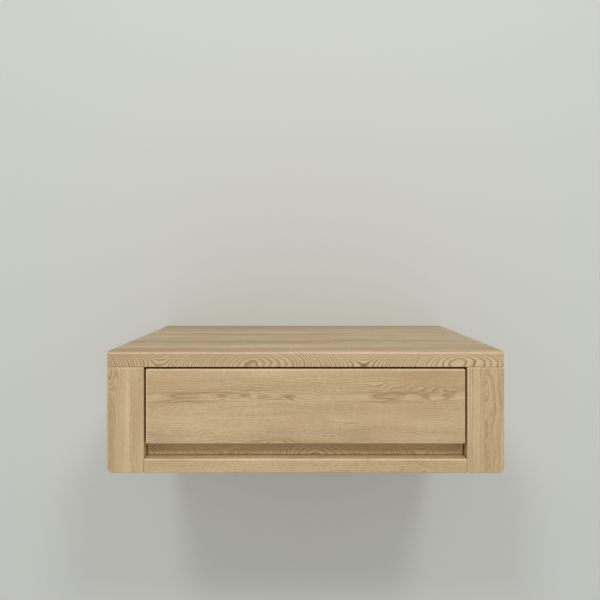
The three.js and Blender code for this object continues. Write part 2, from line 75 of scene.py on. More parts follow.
def srgb(red: int, green: int, blue: int) -> Colour:
    """Turns a screen colour, 0 to 255, into the linear colour that shaders take."""
    full, knee, slope, lift, power = 255, 0.04045, 12.92, 0.055, 2.4
    shares = [part / full for part in (red, green, blue)]
    return tuple(s / slope if s <= knee else ((s + lift) / (1 + lift)) ** power for s in shares)


def body_of(node: str) -> str:
    """The name of the frame's body that carries a node."""
    bodies = frame["record"]["behaviour"]["bodies"]
    return next(body for body, members in bodies.items() if node in members)


class Slot(Enum):
    """The finishes that the frame's record names."""

    OAK = "oak"
    BIRCH = "birch"
    PINE = "pine_rail"
    BEECH = "beech_dowel"
    ZINC = "zinc_steel"
    CAGE = "cage_steel"
    SCREW = "screw_steel"


class Side(Enum):
    """Left and right, as seen from the front."""

    LEFT = -1
    RIGHT = 1

    @property
    def label(self) -> str:
        """The side's word in the names of its pieces."""
        return self.name.lower()


class Grain(Enum):
    """The way of a board's grain: its axes along, across and through the board."""

    SIDEWAYS_FLAT = (0, 1, 2)
    SIDEWAYS_UPRIGHT = (0, 2, 1)
    UPRIGHT = (2, 1, 0)
    FORWARD = (1, 2, 0)


# Shader building


class Value:
    """A number in a shader. An expression on it adds the Math nodes that work it out."""

    def __init__(self, shader: "Shader", socket: bpy.types.NodeSocket) -> None:
        """Wraps one output socket of a shader's node."""
        self.shader = shader
        self.socket = socket

    def __add__(self, other: "Term") -> "Value":
        """The sum."""
        return self.shader.math("ADD", self, other)

    def __radd__(self, other: "Term") -> "Value":
        """The sum, from the right."""
        return self.shader.math("ADD", other, self)

    def __sub__(self, other: "Term") -> "Value":
        """The difference."""
        return self.shader.math("SUBTRACT", self, other)

    def __rsub__(self, other: "Term") -> "Value":
        """The difference, from the right."""
        return self.shader.math("SUBTRACT", other, self)

    def __mul__(self, other: "Term") -> "Value":
        """The product."""
        return self.shader.math("MULTIPLY", self, other)

    def __rmul__(self, other: "Term") -> "Value":
        """The product, from the right."""
        return self.shader.math("MULTIPLY", other, self)

    def __truediv__(self, other: "Term") -> "Value":
        """The quotient."""
        return self.shader.math("DIVIDE", self, other)

    def __rtruediv__(self, other: "Term") -> "Value":
        """The quotient, from the right."""
        return self.shader.math("DIVIDE", other, self)

    def __pow__(self, power: "Term") -> "Value":
        """The power."""
        return self.shader.math("POWER", self, power)

    def __abs__(self) -> "Value":
        """The value without its sign."""
        return self.shader.math("ABSOLUTE", self)

    def below(self, other: "Term") -> "Value":
        """The lesser of two values."""
        return self.shader.math("MINIMUM", self, other)

    def above(self, other: "Term") -> "Value":
        """The greater of two values."""
        return self.shader.math("MAXIMUM", self, other)

    def root(self) -> "Value":
        """The square root."""
        return self.shader.math("SQRT", self)

    def cosine(self) -> "Value":
        """The cosine of an angle in radians."""
        return self.shader.math("COSINE", self)

    def exponential(self) -> "Value":
        """The number e to this power."""
        return self.shader.math("EXPONENT", self)

    def whole(self) -> "Value":
        """The whole number at or below."""
        return self.shader.math("FLOOR", self)

    def rest(self) -> "Value":
        """What is left above the whole number."""
        return self.shader.math("FRACT", self)

    def smooth(self, low: float, high: float) -> "Value":
        """Rises smoothly from 0 at low to 1 at high."""
        settings = {"interpolation_type": "SMOOTHSTEP"}
        inputs = {"Value": self, "From Min": low, "From Max": high}
        return Value(self.shader, self.shader.add("ShaderNodeMapRange", settings, inputs).outputs[0])


Term = Union[float, Value]


class Shader:
    """The node tree of a material or a world."""

    def __init__(self, owner: Union[bpy.types.Material, bpy.types.World]) -> None:
        """Takes over the owner's node tree, and empties it."""
        owner.use_nodes = True
        self.owner = owner
        self.tree = owner.node_tree
        self.tree.nodes.clear()

    def add(
        self,
        kind: str,
        settings: dict[str, Any] | None = None,
        inputs: dict[Union[str, int], Any] | None = None,
    ) -> bpy.types.Node:
        """Adds one node.

        Args:
            kind: The node's type.
            settings: What is set on the node itself, before its sockets.
            inputs: Values or links for its sockets, by name or number.

        Returns:
            The node.
        """
        node = self.tree.nodes.new(kind)
        for name, value in (settings or {}).items():
            setattr(node, name, value)
        for name, value in (inputs or {}).items():
            self.feed(node.inputs[name], value)
        return node

    def feed(self, socket: bpy.types.NodeSocket, value: Any) -> None:
        """Links a value to a socket, or sets a constant on it."""
        if isinstance(value, Value):
            value = value.socket
        if isinstance(value, bpy.types.NodeSocket):
            self.tree.links.new(value, socket)
        elif socket.type == "RGBA":
            socket.default_value = (*value, 1)
        else:
            socket.default_value = value

    def math(self, operation: str, *terms: Term) -> Value:
        """Adds a Math node on one to three terms."""
        node = self.add("ShaderNodeMath", {"operation": operation}, dict(enumerate(terms)))
        return Value(self, node.outputs[0])

    def vector(self, operation: str, *terms: Any) -> bpy.types.Node:
        """Adds a Vector Math node on one to three terms."""
        return self.add("ShaderNodeVectorMath", {"operation": operation}, dict(enumerate(terms)))

    def point(self, x: Term, y: Term, z: Term) -> bpy.types.NodeSocket:
        """Puts three numbers together as a vector."""
        return self.add("ShaderNodeCombineXYZ", None, {0: x, 1: y, 2: z}).outputs[0]

    def parts(self, vector: bpy.types.NodeSocket) -> list[Value]:
        """Takes a vector apart."""
        return [Value(self, out) for out in self.add("ShaderNodeSeparateXYZ", None, {0: vector}).outputs]

    def place(self) -> bpy.types.NodeSocket:
        """The place of the surface point in the frame, in millimetres."""
        found = self.add("ShaderNodeTexCoord").outputs["Object"]
        return self.vector("MULTIPLY", found, (1 / MM,) * 3).outputs[0]

    def normal(self) -> list[Value]:
        """The three parts of the surface's own normal."""
        return self.parts(self.add("ShaderNodeTexCoord").outputs["Normal"])

    def noise(self, at: bpy.types.NodeSocket, detail: float, roughness: float = 0.5) -> Value:
        """A noise of one number, 0 to 1, whose cells are one unit of the vector wide."""
        inputs = {"Vector": at, "Scale": 1, "Detail": detail, "Roughness": roughness}
        return Value(self, self.add("ShaderNodeTexNoise", None, inputs).outputs[0])

    def noises(self, at: bpy.types.NodeSocket, detail: float) -> list[Value]:
        """Three noises, each around 0, whose cells are one unit of the vector wide."""
        inputs = {"Vector": at, "Scale": 1, "Detail": detail}
        colour = self.add("ShaderNodeTexNoise", None, inputs).outputs[1]
        return [part - 0.5 for part in self.parts(colour)]

    def chances(self, number: Value) -> list[Value]:
        """Three even random numbers, 0 to 1, for a whole number."""
        node = self.add("ShaderNodeTexWhiteNoise", {"noise_dimensions": "1D"}, {"W": number})
        return self.parts(node.outputs[1])

    def mix(self, share: Term, first: Any, second: Any) -> bpy.types.NodeSocket:
        """Mixes two colours: first where the share is 0, second where it is 1."""
        settings = {"data_type": "RGBA", "clamp_factor": True}
        inputs = {MIX_SHARE: share, MIX_FIRST: first, MIX_SECOND: second}
        return self.add("ShaderNodeMix", settings, inputs).outputs[MIX_COLOUR]

    def bump(self, height: Term, distance: float, strength: float) -> bpy.types.NodeSocket:
        """Turns a height, 0 to 1, into a normal."""
        inputs = {"Height": height, "Distance": distance, "Strength": strength}
        return self.add("ShaderNodeBump", None, inputs).outputs[0]

    def close(self, inputs: dict[str, Any]) -> bpy.types.Material:
        """Ends a material in a Principled shader.

        Args:
            inputs: The shader's values or links, by socket name.

        Returns:
            The material.
        """
        surface = self.add("ShaderNodeBsdfPrincipled", None, inputs)
        self.add("ShaderNodeOutputMaterial", None, {"Surface": surface.outputs[0]})
        return self.owner


# Wood


def lifted(share: Term, least: float) -> Term:
    """Moves a share of 0 to 1 into the range from least to 1."""
    return least + share * (1 - least)


@dataclass(frozen=True)
class Cells:
    """A noise, by the size of its cells in millimetres on three axes, its detail and roughness."""

    size: Point
    detail: float = 2.0
    roughness: float = 0.5

    def wider(self, factor: float) -> "Cells":
        """The same noise with larger cells."""
        return replace(self, size=tuple(length * factor for length in self.size))

    def noise(self, shader: Shader, place: Sequence[Value]) -> Value:
        """The noise at a place, 0 to 1."""
        return shader.noise(self._counted(shader, place), self.detail, self.roughness)

    def around(self, shader: Shader, place: Sequence[Value]) -> Value:
        """The noise at a place, around 0."""
        return self.noise(shader, place) - 0.5

    def noises(self, shader: Shader, place: Sequence[Value]) -> list[Value]:
        """Three noises at a place, each around 0."""
        return shader.noises(self._counted(shader, place), self.detail)

    def _counted(self, shader: Shader, place: Sequence[Value]) -> bpy.types.NodeSocket:
        """The place, counted in cells."""
        return shader.point(*(part / length for part, length in zip(place, self.size)))


@dataclass(frozen=True)
class Spot:
    """A place in the wood that differs from the rest, and fades into it within its reach.

    As a swelling of the growth rings, its amount is a number of rings, and it shows as an eye or a
    flame. As a patch, its amount is the share by which it is darker, or paler if it is below 0.
    Its place and reach are millimetres of the frame. Crisp is how sharply it ends at its reach: 1
    fades slowly.
    """

    at: Point
    reach: Point
    amount: float
    crisp: float = 1.0

    @classmethod
    def on_face(
        cls,
        node: str,
        *rows: Sequence[float],
        depth: float = 16.0,
        shifts: Sequence[float] = (0.0,),
        crisp: float = 1.0,
    ) -> tuple["Spot", ...]:
        """Makes spots around places on the front face of a board.

        Args:
            node: The board's node.
            rows: For each spot its X, its Z, its reaches along X and Z, and its amount.
            depth: How far the spots reach behind the face.
            shifts: How far to the right each of them comes, where the board still reaches.
            crisp: How sharply they end.

        Returns:
            The spots.
        """
        low, high = (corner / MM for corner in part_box(node))
        return tuple(
            cls((x + shift, low.y, z), (reach, depth, height), amount, crisp)
            for x, z, reach, height, amount in rows
            for shift in shifts
            if x + shift < high.x
        )

    def share(self, shader: Shader, place: bpy.types.NodeSocket) -> Value:
        """How near a place is to the spot's middle.

        Args:
            shader: The shader that it is part of.
            place: Place in the frame, in millimetres.

        Returns:
            The nearness, 1 in the middle and 0 far away.
        """
        away = shader.vector("SUBTRACT", place, self.at).outputs[0]
        scaled = shader.vector("DIVIDE", away, self.reach).outputs[0]
        square = Value(shader, shader.vector("DOT_PRODUCT", scaled, scaled).outputs["Value"])
        return (square**self.crisp * -1).exponential()


@dataclass(frozen=True)
class Arches:
    """A row of nested arches on a board's front face, where it cuts the rings at a tangent.

    Lengths are millimetres of the frame: face is the front face's Y, middle the X of one arch,
    level the height that the arches stand on, and pitch how far apart they stand. Skin is the
    depth down to which they keep their full height, and fade how deep they go beyond it. Rings is
    the number of rings in an arch's half height, and second that of the smaller wave on it, which
    runs ahead by the angle lean. Bow bends them down away from their level, and wander is how far
    they stray sideways. Point is how many rings run straight up to the arches' tips, which are a
    little to the left of the middle by the angle tip.
    """

    face: float
    middle: float
    level: float
    pitch: float = GRAIN_PITCH
    rings: float = 10.2
    second: float = 1.8
    lean: float = 2.94
    bow: float = 0.014
    point: float = 4.5
    tip: float = 0.229
    skin: float = 4.5
    fade: float = 7.0
    wander: float = 22.0

    def depth(self, lie: "Lie") -> Value:
        """Share of the arches that is left at a depth: 1 on the front face."""
        return ((self.face + self.skin - lie.frame_parts[1]).below(0) / self.fade).exponential()

    def height(self, lie: "Lie", wobble: Value) -> Value:
        """Rings that the arches add at a place.

        Args:
            lie: Where the surface point lies.
            wobble: A noise around 0 that keeps the arches from being even.

        Returns:
            The number of rings.
        """
        x, _, z = lie.frame_parts
        turn = (x - self.middle + wobble * self.wander) * (2 * math.pi / self.pitch)
        wave = turn.cosine() * self.rings + (turn * 2 + self.lean).cosine() * self.second
        flank = abs(((turn + self.tip + math.pi) * 0.5).cosine()) * self.point
        rise = z - self.level
        return (wave - flank - rise * rise * self.bow) * self.depth(lie)


@dataclass(frozen=True)
class Figure:
    """How the rings run through one board, in millimetres from the board's middle.

    Pith is the place of the tree's centre across and through the board, ring the width of a ring,
    and stave the width of the strips that a wide board is glued up from, or 0. Each strip behind
    the first has rings of its own. Sway is how far slow bends move the rings across and through,
    and ripple how many rings quick ones move them. Streak is the width of the pale and dark
    streaks. Clouds is how uneven the wood is away from its arches, and shade how much darker it is
    painted there and on faces that look up, as painted shade. Contrast is the strength of the
    rings, texture that of the fibres, worn that of the edges' wear and painted highlight, and tone
    how much paler it all is.
    """

    pith: Pair
    seed: float
    stave: float = 0.0
    ring: float = 2.7
    sway: Pair = (26.0, 16.0)
    ripple: float = 0.6
    arches: Arches | None = None
    swells: tuple[Spot, ...] = ()
    patches: tuple[Spot, ...] = ()
    streak: float = 11.0
    contrast: float = 1.0
    texture: float = 1.0
    # How strongly the edges show their pale wear and painted highlight.
    worn: float = 1.0
    clouds: float = 1.0
    # Painted shade: how much darker the faces that look up, and those away from the arches, are drawn.
    shade: float = 0.0
    tone: float = 0.0


@dataclass(frozen=True)
class Lie:
    """Where a point of the surface lies in its board, as shader values in millimetres."""

    place: bpy.types.NodeSocket
    frame_parts: tuple[Value, ...]
    along: Value
    across: Value
    through: Value

    @classmethod
    def of(cls, shader: Shader, middle: Vector, grain: Grain) -> "Lie":
        """Finds the point's place in its board, counted from the board's middle."""
        place = shader.place()
        frame_parts = tuple(shader.parts(place))
        return cls(place, frame_parts, *(frame_parts[axis] - middle[axis] for axis in grain.value))


@dataclass(frozen=True)
class Strip:
    """The glued strip that a point lies in: its place across the strip, and what is its own.

    Seeded is the place across, moved so that the noises of no two strips are alike. Chance holds
    three random numbers, loose is 1 in every strip but the first, and seam is 1 on a glue line.
    """

    across: Value
    seeded: Value
    chance: list[Value]
    loose: Value
    seam: Value


@dataclass(frozen=True)
class Gluing:
    """How wide boards are glued up from strips.

    Seam is how far from a strip's edge the glue line sets in and is full, in millimetres, and
    inner how far from the board's edges, in strips, there is one. Strips_apart and seeds_apart
    are what parts the noises of strips and of boards, and seed_numbers what parts their chances.
    """

    seam: Pair = (-0.3, -0.05)
    inner: Pair = (0.2, 0.4)
    strips_apart: float = 300.0
    seeds_apart: float = 53.0
    seed_numbers: int = 13

    def strip(self, shader: Shader, lie: Lie, figure: Figure, width: float) -> Strip:
        """Finds the strip at a place.

        Args:
            shader: The shader that it is part of.
            lie: Where the surface point lies.
            figure: How the rings run.
            width: The board's size across the grain, in millimetres.

        Returns:
            The strip.
        """
        count = max(1, round(width / figure.stave)) if figure.stave else 1
        own = width / count
        place = lie.across / own + count / 2
        number = place.whole().above(0).below(count - 1)
        across = (place - number - 0.5) * own
        inner = (count / 2 - abs(place - count / 2)).smooth(*self.inner)
        seam = (abs(across) - own / 2).smooth(*self.seam) * inner
        chance = shader.chances(number + figure.seed * self.seed_numbers + 0.5)
        seeded = across + chance[0] * self.strips_apart + figure.seed * self.seeds_apart
        return Strip(across, seeded, chance, number.below(1), seam)


@dataclass(frozen=True)
class Rings:
    """How the growth rings of a wood show.

    Lines is how dark they are, arch_lines and eye_lines how much darker in arches and at
    swellings, and glow how pale the wood beside them is. They fade in places, by the noise patchy
    over its range, to the share least. In every strip but the first the tree's centre is loose: it
    lies anywhere in loose_across strips, and loose_depth behind the board's middle, less up to
    loose_rise. Uneven is how many rings their spacing strays by, and pace how fast it does.
    Weakest is the share of the faintest ring. Rise and fall are the sides of the dark line within
    a ring, and the glow has sides of its own.
    """

    lines: float = 0.6
    arch_lines: float = 0.4
    eye_lines: float = 0.28
    glow: float = 0.5
    patchy: Cells = Cells((90.0, 20.0, 20.0))
    patchy_range: Pair = (0.3, 0.65)
    least: float = 0.4
    loose_across: float = 1.6
    loose_depth: float = 55.0
    loose_rise: float = 35.0
    uneven: float = 1.7
    pace: float = 0.31
    weakest: float = 0.6
    rise: Pair = (0.46, 0.86)
    fall: Pair = (1.0, 0.92)
    glow_rise: Pair = (0.0, 0.07)
    glow_fall: Pair = (0.36, 0.1)

    def find(
        self, shader: Shader, lie: Lie, figure: Figure, strip: Strip, drift: list[Value], ripple: Value
    ) -> tuple[Value, ...]:
        """Works out the ring lines.

        Args:
            shader: The shader that it is part of.
            lie: Where the surface point lies.
            figure: How the rings run.
            strip: The glued strip.
            drift: Three slow noises around 0 that bend the rings.
            ripple: A quick noise around 0 that makes them wavy.

        Returns:
            The ring line, the pale line beside it, both 0 to 1, and how strongly they show.
        """
        own_across = (strip.chance[1] - 0.5) * figure.stave * self.loose_across - figure.pith[0]
        own_through = self.loose_depth - strip.chance[2] * self.loose_rise - figure.pith[1]
        across = strip.across - figure.pith[0] - own_across * strip.loose
        through = lie.through - figure.pith[1] - own_through * strip.loose
        across = across + drift[0] * figure.sway[0]
        through = through + drift[1] * figure.sway[1]
        rings = (across * across + through * through).root() / figure.ring + ripple * figure.ripple
        marked = self.patchy.noise(shader, (lie.along, strip.seeded, lie.through))
        marked = lifted(marked.smooth(*self.patchy_range), self.least) * self.lines * figure.contrast
        if figure.arches:
            rings = rings - figure.arches.height(lie, drift[2])
            marked = marked + figure.arches.depth(lie) * (self.arch_lines * figure.contrast)
        for swell in figure.swells:
            near = swell.share(shader, lie.place)
            rings = rings - near * swell.amount
            marked = marked + near * self.eye_lines
        rings = rings + shader.noise(shader.point(rings * self.pace, figure.seed, 0), 1) * self.uneven
        strength = lifted(shader.chances(rings.whole())[0], self.weakest)
        part = rings.rest()
        line = part.smooth(*self.rise) * part.smooth(*self.fall) * strength
        return line, part.smooth(*self.glow_fall) * part.smooth(*self.glow_rise), marked


@dataclass(frozen=True)
class Wear:
    """The pale wear on rounded edges, with a painted highlight where they turn up and to the left.

    Light is how strongly both show, level how much there is, and unevenness how much its strands
    differ. The other numbers are parts of the surface's normal: between those of rounding an edge
    begins to be round, and between those of upward a face to look up, which places the painted
    shade. The wear and highlight are all there at full, begin to fade at fading, and have gone at
    gone.
    """

    light: float = 0.6
    # The pale colour of the wear, which also paints the highlight on edges.
    colour: Colour = srgb(243, 222, 192)
    level: float = 0.8
    unevenness: float = 1.6
    rounding: Pair = (0.01, 0.08)
    full: float = 0.14
    gone: float = 0.66
    fading: float = 0.32
    upward: Pair = (0.4, 0.8)

    def find(self, shader: Shader, strand: Value) -> tuple[Value, ...]:
        """Finds the rounded edges, and the wear and painted highlight on them.

        Args:
            shader: The shader that it is part of.
            strand: A noise around 0 that keeps the wear and highlight from being even.

        Returns:
            The share of rounding, that of wear and painted highlight on the edges that turn up and
            to the left, and how far the surface looks up.
        """
        x, y, z = shader.normal()
        rounding = (1 - abs(x).above(abs(y)).above(abs(z))).smooth(*self.rounding)
        up = z.smooth(0, self.full) * z.smooth(self.gone, self.fading)
        left = x.smooth(0, -self.full) * x.smooth(-self.gone, -self.fading)
        worn = up.above(left) * (self.level + strand * self.unevenness)
        return rounding, worn, z.smooth(*self.upward)


@dataclass(frozen=True)
class Plies:
    """The dark plies on the edges of plywood.

    Thickness is that of a ply in millimetres, strength how dark the darker ones are, and start
    where in a pair of plies the board's middle lies. Edge is the part of the normal, through the
    board, at which they begin to fade and are gone, and rise and fall are the sides of a dark ply.
    """

    thickness: float
    strength: float = 0.45
    start: float = 0.25
    edge: Pair = (0.4, 0.8)
    rise: Pair = (0.44, 0.5)
    fall: Pair = (1.0, 0.94)

    def share(self, shader: Shader, lie: Lie, grain: Grain) -> Value:
        """How much of a dark ply shows at a place."""
        edge = 1 - abs(shader.normal()[grain.value[2]]).smooth(*self.edge)
        turn = (lie.through / (self.thickness * 2) + self.start).rest()
        return turn.smooth(*self.rise) * turn.smooth(*self.fall) * edge * self.strength


@dataclass(frozen=True)
class Marks:
    """What shows at a place on a board, as shader values.

    Fibre, strand, mottle and streak are noises around 0. The others are shares: line and glow are
    those of a ring's dark and pale line, marked how strongly both are drawn, upward how far the
    surface looks up, and front how much of the board's arches is left.
    """

    fibre: Value
    strand: Value
    mottle: Value
    streak: Value
    blush: Value
    pore: Value
    line: Value
    glow: Value
    marked: Value
    worn: Value
    upward: Value
    seam: Value
    front: Term


@dataclass(frozen=True)
class Relief:
    """The heights on a planed surface, as shares of its depth in metres, and how they show."""

    depth: float = 0.00008
    strength: float = 0.6
    level: float = 0.6
    fibre: float = 0.5
    line: float = 0.35
    pore: float = 0.6
    seam: float = 0.5


@dataclass(frozen=True)
class Sheen:
    """The roughness of a finish, and how much its clouds, ring lines and the edges' wear and painted
    highlight change it.
    """

    roughness: float = 0.42
    mottle: float = 0.14
    line: float = 0.06
    worn: float = 0.08
    ior: float = 1.47


@dataclass(frozen=True)
class Wood:
    """A wood finish: its tones, rings, fibres, pores and sheen.

    Streaks, mottle, blush, strands, fibres, pores, end_grain and seams are how strongly each of
    them shows, and the fields that end in cells are their noises along, across and through the
    board, or in the frame for patches. Rippling is how far the ripple bends the fibres, and
    roughened how far the outlines of patches stray, in millimetres. Strip_change is how much the
    strips' tones differ, shade_streaks how much the streaks change the painted shade, quiet the
    share of the texture that is left away from arches, smoothed the share of the ring lines that a
    rounding takes away, and pores_off_line the share of the pores that lies off the ring lines.
    Ranges are where a noise begins to show and does in full.
    """

    name: str
    pale: Colour
    body: Colour
    dark: Colour
    rosy: Colour
    # The colour of paler patches; on the bottom board it also paints light on the recess's floor.
    light: Colour = srgb(226, 203, 160)
    streaks: float = 1.6
    mottle: float = 0.8
    blush: float = 0.5
    strands: float = 1.0
    fibres: float = 0.5
    pores: float = 0.3
    end_grain: float = 0.25
    seams: float = 0.3
    strip_change: float = 0.3
    shade_streaks: float = 1.1
    quiet: float = 0.45
    smoothed: float = 0.85
    rippling: float = 2.4
    roughened: float = 7.0
    drift_cells: Cells = Cells((110.0, 40.0, 40.0))
    ripple_cells: Cells = Cells((13.0, 7.0, 7.0))
    fibre_cells: Cells = Cells((3.8, 0.8, 0.8), 3, 0.6)
    strand_cells: Cells = Cells((5.0, 1.9, 1.9), 3, 0.6)
    mottle_cells: Cells = Cells((110.0, 26.0, 26.0))
    blush_cells: Cells = Cells((110.0, 30.0, 30.0), 1)
    streak_cells: Cells = Cells((17.0, 1.0, 1.0), 3, 0.55)
    pore_cells: Cells = Cells((3.6, 0.34, 0.34), 1)
    patch_cells: Cells = Cells((14.0, 5.0, 5.0))
    blush_range: Pair = (0.45, 0.75)
    pore_range: Pair = (0.6, 0.74)
    pores_off_line: float = 0.35
    end_range: Pair = (0.6, 0.95)
    gluing: Gluing = Gluing()
    rings: Rings = Rings()
    # Pale edge wear, and a painted highlight on edges that turn up and to the left.
    wear: Wear = Wear()
    plies: Plies | None = None
    relief: Relief = Relief()
    sheen: Sheen = Sheen()

    def dress(self, node: str, grain: Grain, figure: Figure) -> bpy.types.Material:
        """Makes the material of one board.

        Args:
            node: The CAD node that gives the board's box.
            grain: The way of its grain.
            figure: How the rings run through it.

        Returns:
            The material.
        """
        shader = Shader(bpy.data.materials.new(f"{self.name}_{node}"))
        low, high = (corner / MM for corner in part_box(node))
        lie = Lie.of(shader, (low + high) / 2, grain)
        strip = self.gluing.strip(shader, lie, figure, (high - low)[grain.value[1]])
        marks = self._marks(shader, lie, figure, strip)
        colour = self._toned(shader, figure, strip, marks)
        colour = self._patched(shader, lie, figure, colour)
        for share, tint in self._tints(shader, lie, grain, figure, marks):
            colour = shader.mix(share, colour, tint)
        rough, sheen = self.relief, self.sheen
        height = rough.level + marks.fibre * rough.fibre - marks.line * rough.line
        height = height - marks.pore * rough.pore - marks.seam * rough.seam
        dullness = sheen.roughness + marks.mottle * sheen.mottle + marks.line * sheen.line
        return shader.close(
            {
                "Base Color": colour,
                "Roughness": dullness - marks.worn * sheen.worn,
                "Normal": shader.bump(height, rough.depth, rough.strength),
                "IOR": sheen.ior,
            }
        )

    def _marks(self, shader: Shader, lie: Lie, figure: Figure, strip: Strip) -> Marks:
        """Works out what shows at a place.

        Args:
            shader: The shader that it is part of.
            lie: Where the surface point lies.
            figure: How the rings run.
            strip: The glued strip.

        Returns:
            The marks.
        """
        straight = (lie.along, strip.seeded, lie.through)
        drift = self.drift_cells.noises(shader, straight)
        ripple = self.ripple_cells.noises(shader, straight)
        across = strip.seeded + drift[0] * figure.sway[0] + ripple[1] * self.rippling
        through = lie.through + drift[1] * figure.sway[1] + ripple[2] * self.rippling
        bent = (lie.along, across, through)
        strand = self.strand_cells.around(shader, bent)
        rounding, worn, upward = self.wear.find(shader, strand)
        line, glow, marked = self.rings.find(shader, lie, figure, strip, drift, ripple[0])
        pore = self.pore_cells.noise(shader, bent).smooth(*self.pore_range)
        return Marks(
            fibre=self.fibre_cells.around(shader, bent),
            strand=strand,
            mottle=self.mottle_cells.around(shader, bent),
            streak=self.streak_cells.wider(figure.streak).around(shader, bent),
            blush=self.blush_cells.noise(shader, bent).smooth(*self.blush_range),
            pore=pore * lifted(line, self.pores_off_line),
            line=line,
            glow=glow,
            marked=marked * (1 - rounding * self.smoothed),
            worn=worn,
            upward=upward,
            seam=strip.seam,
            front=figure.arches.depth(lie) if figure.arches else 1.0,
        )

    def _toned(self, shader: Shader, figure: Figure, strip: Strip, marks: Marks) -> bpy.types.NodeSocket:
        """Mixes the wood's tones.

        Args:
            shader: The shader that it is part of.
            figure: How the rings run.
            strip: The glued strip.
            marks: What shows at the place.

        Returns:
            The colour before any mark is drawn on it.
        """
        clouds = lifted(marks.front, figure.clouds)
        uneven = marks.streak * self.streaks + marks.mottle * self.mottle
        uneven = uneven + (strip.chance[2] - 0.5) * self.strip_change
        fine = (marks.strand * self.strands + marks.fibre * self.fibres) * figure.texture
        tone = 0.5 + figure.tone + uneven * clouds + fine * lifted(marks.front, self.quiet)
        colour = shader.mix(tone, self.body, self.pale)
        return shader.mix(marks.blush * self.blush * clouds, colour, self.rosy)

    def _tints(
        self, shader: Shader, lie: Lie, grain: Grain, figure: Figure, marks: Marks
    ) -> list[tuple[Value, Colour]]:
        """Lists what is laid over the wood's tones.

        Args:
            shader: The shader that it is part of.
            lie: Where the surface point lies.
            grain: The way of the board's grain.
            figure: How the rings run.
            marks: What shows at the place.

        Returns:
            The layers from the lowest up, each as its share and its colour.
        """
        end = abs(shader.normal()[grain.value[0]]).smooth(*self.end_range)
        tints = [
            (marks.line * marks.marked, self.dark),
            (marks.glow * marks.marked * self.rings.glow, self.pale),
            (marks.pore * self.pores, self.dark),
            (end * self.end_grain, self.dark),
            (marks.seam * self.seams, self.dark),
        ]
        # Painted shade: faces that look up, and those away from the front's arches, are darkened.
        if figure.shade:
            shade = figure.shade - marks.streak * self.shade_streaks
            tints.insert(0, (marks.upward.above(1 - marks.front) * shade, self.dark))
        if self.plies:
            tints.append((self.plies.share(shader, lie, grain), self.dark))
        # Last comes the pale edge wear with its painted highlight.
        return [*tints, (marks.worn * (self.wear.light * figure.worn), self.wear.colour)]

    def _patched(self, shader: Shader, lie: Lie, figure: Figure, colour: Any) -> bpy.types.NodeSocket:
        """Lays the figure's darker and paler patches over a colour.

        Args:
            shader: The shader that it is part of.
            lie: Where the surface point lies.
            figure: The figure that has the patches.
            colour: The colour below them.

        Returns:
            The colour with the patches.
        """
        if not figure.patches:
            return colour
        rough = self.patch_cells.noises(shader, lie.frame_parts)
        moved = shader.point(*(part * self.roughened for part in rough))
        place = shader.vector("ADD", lie.place, moved).outputs[0]
        for patch in figure.patches:
            share = patch.share(shader, place) * abs(patch.amount)
            colour = shader.mix(share, colour, self.dark if patch.amount > 0 else self.light)
        return colour


@dataclass(frozen=True)
class Metal:
    """A sheet or turned steel finish.

    It has marks that were drawn along one axis, clouds and small spangles, each with its cells.
    Stained is the share of the stain, and the fields that end in stain, dullness and height are
    how much the marks, clouds and spangles change the colour, the roughness and the surface.
    Relief is the surface's depth in metres, and bump how strongly it shows.
    """

    name: str
    colour: Colour
    stain: Colour
    roughness: float
    mark_cells: Cells = Cells((0.9, 60.0, 0.9), 3, 0.6)
    cloud_cells: Cells = Cells((9.0, 14.0, 9.0), 3)
    spangle_cells: Cells = Cells((1.6, 2.2, 1.6), 1)
    stained: float = 0.4
    cloud_stain: float = 1.6
    spangle_stain: float = 0.5
    mark_dullness: float = 0.16
    cloud_dullness: float = 0.2
    mark_height: float = 0.6
    spangle_height: float = 0.3
    relief: float = 0.00002
    bump: float = 0.4

    def dress(self) -> bpy.types.Material:
        """Makes the material.

        Returns:
            The material.
        """
        shader = Shader(bpy.data.materials.new(self.name))
        place = shader.parts(shader.place())
        mark = self.mark_cells.around(shader, place)
        cloud = self.cloud_cells.around(shader, place)
        spangle = self.spangle_cells.around(shader, place)
        share = self.stained + cloud * self.cloud_stain + spangle * self.spangle_stain
        height = 0.5 + mark * self.mark_height + spangle * self.spangle_height
        return shader.close(
            {
                "Base Color": shader.mix(share, self.colour, self.stain),
                "Metallic": 1.0,
                "Roughness": self.roughness + mark * self.mark_dullness + cloud * self.cloud_dullness,
                "Normal": shader.bump(height, self.relief, self.bump),
            }
        )


OAK = Wood(
    name="oak",
    pale=srgb(206, 183, 142),
    body=srgb(180, 152, 110),
    dark=srgb(130, 94, 52),
    rosy=srgb(192, 160, 124),
    fibres=0.8,
    rings=Rings(lines=0.85, arch_lines=0.6, glow=0.7),
)
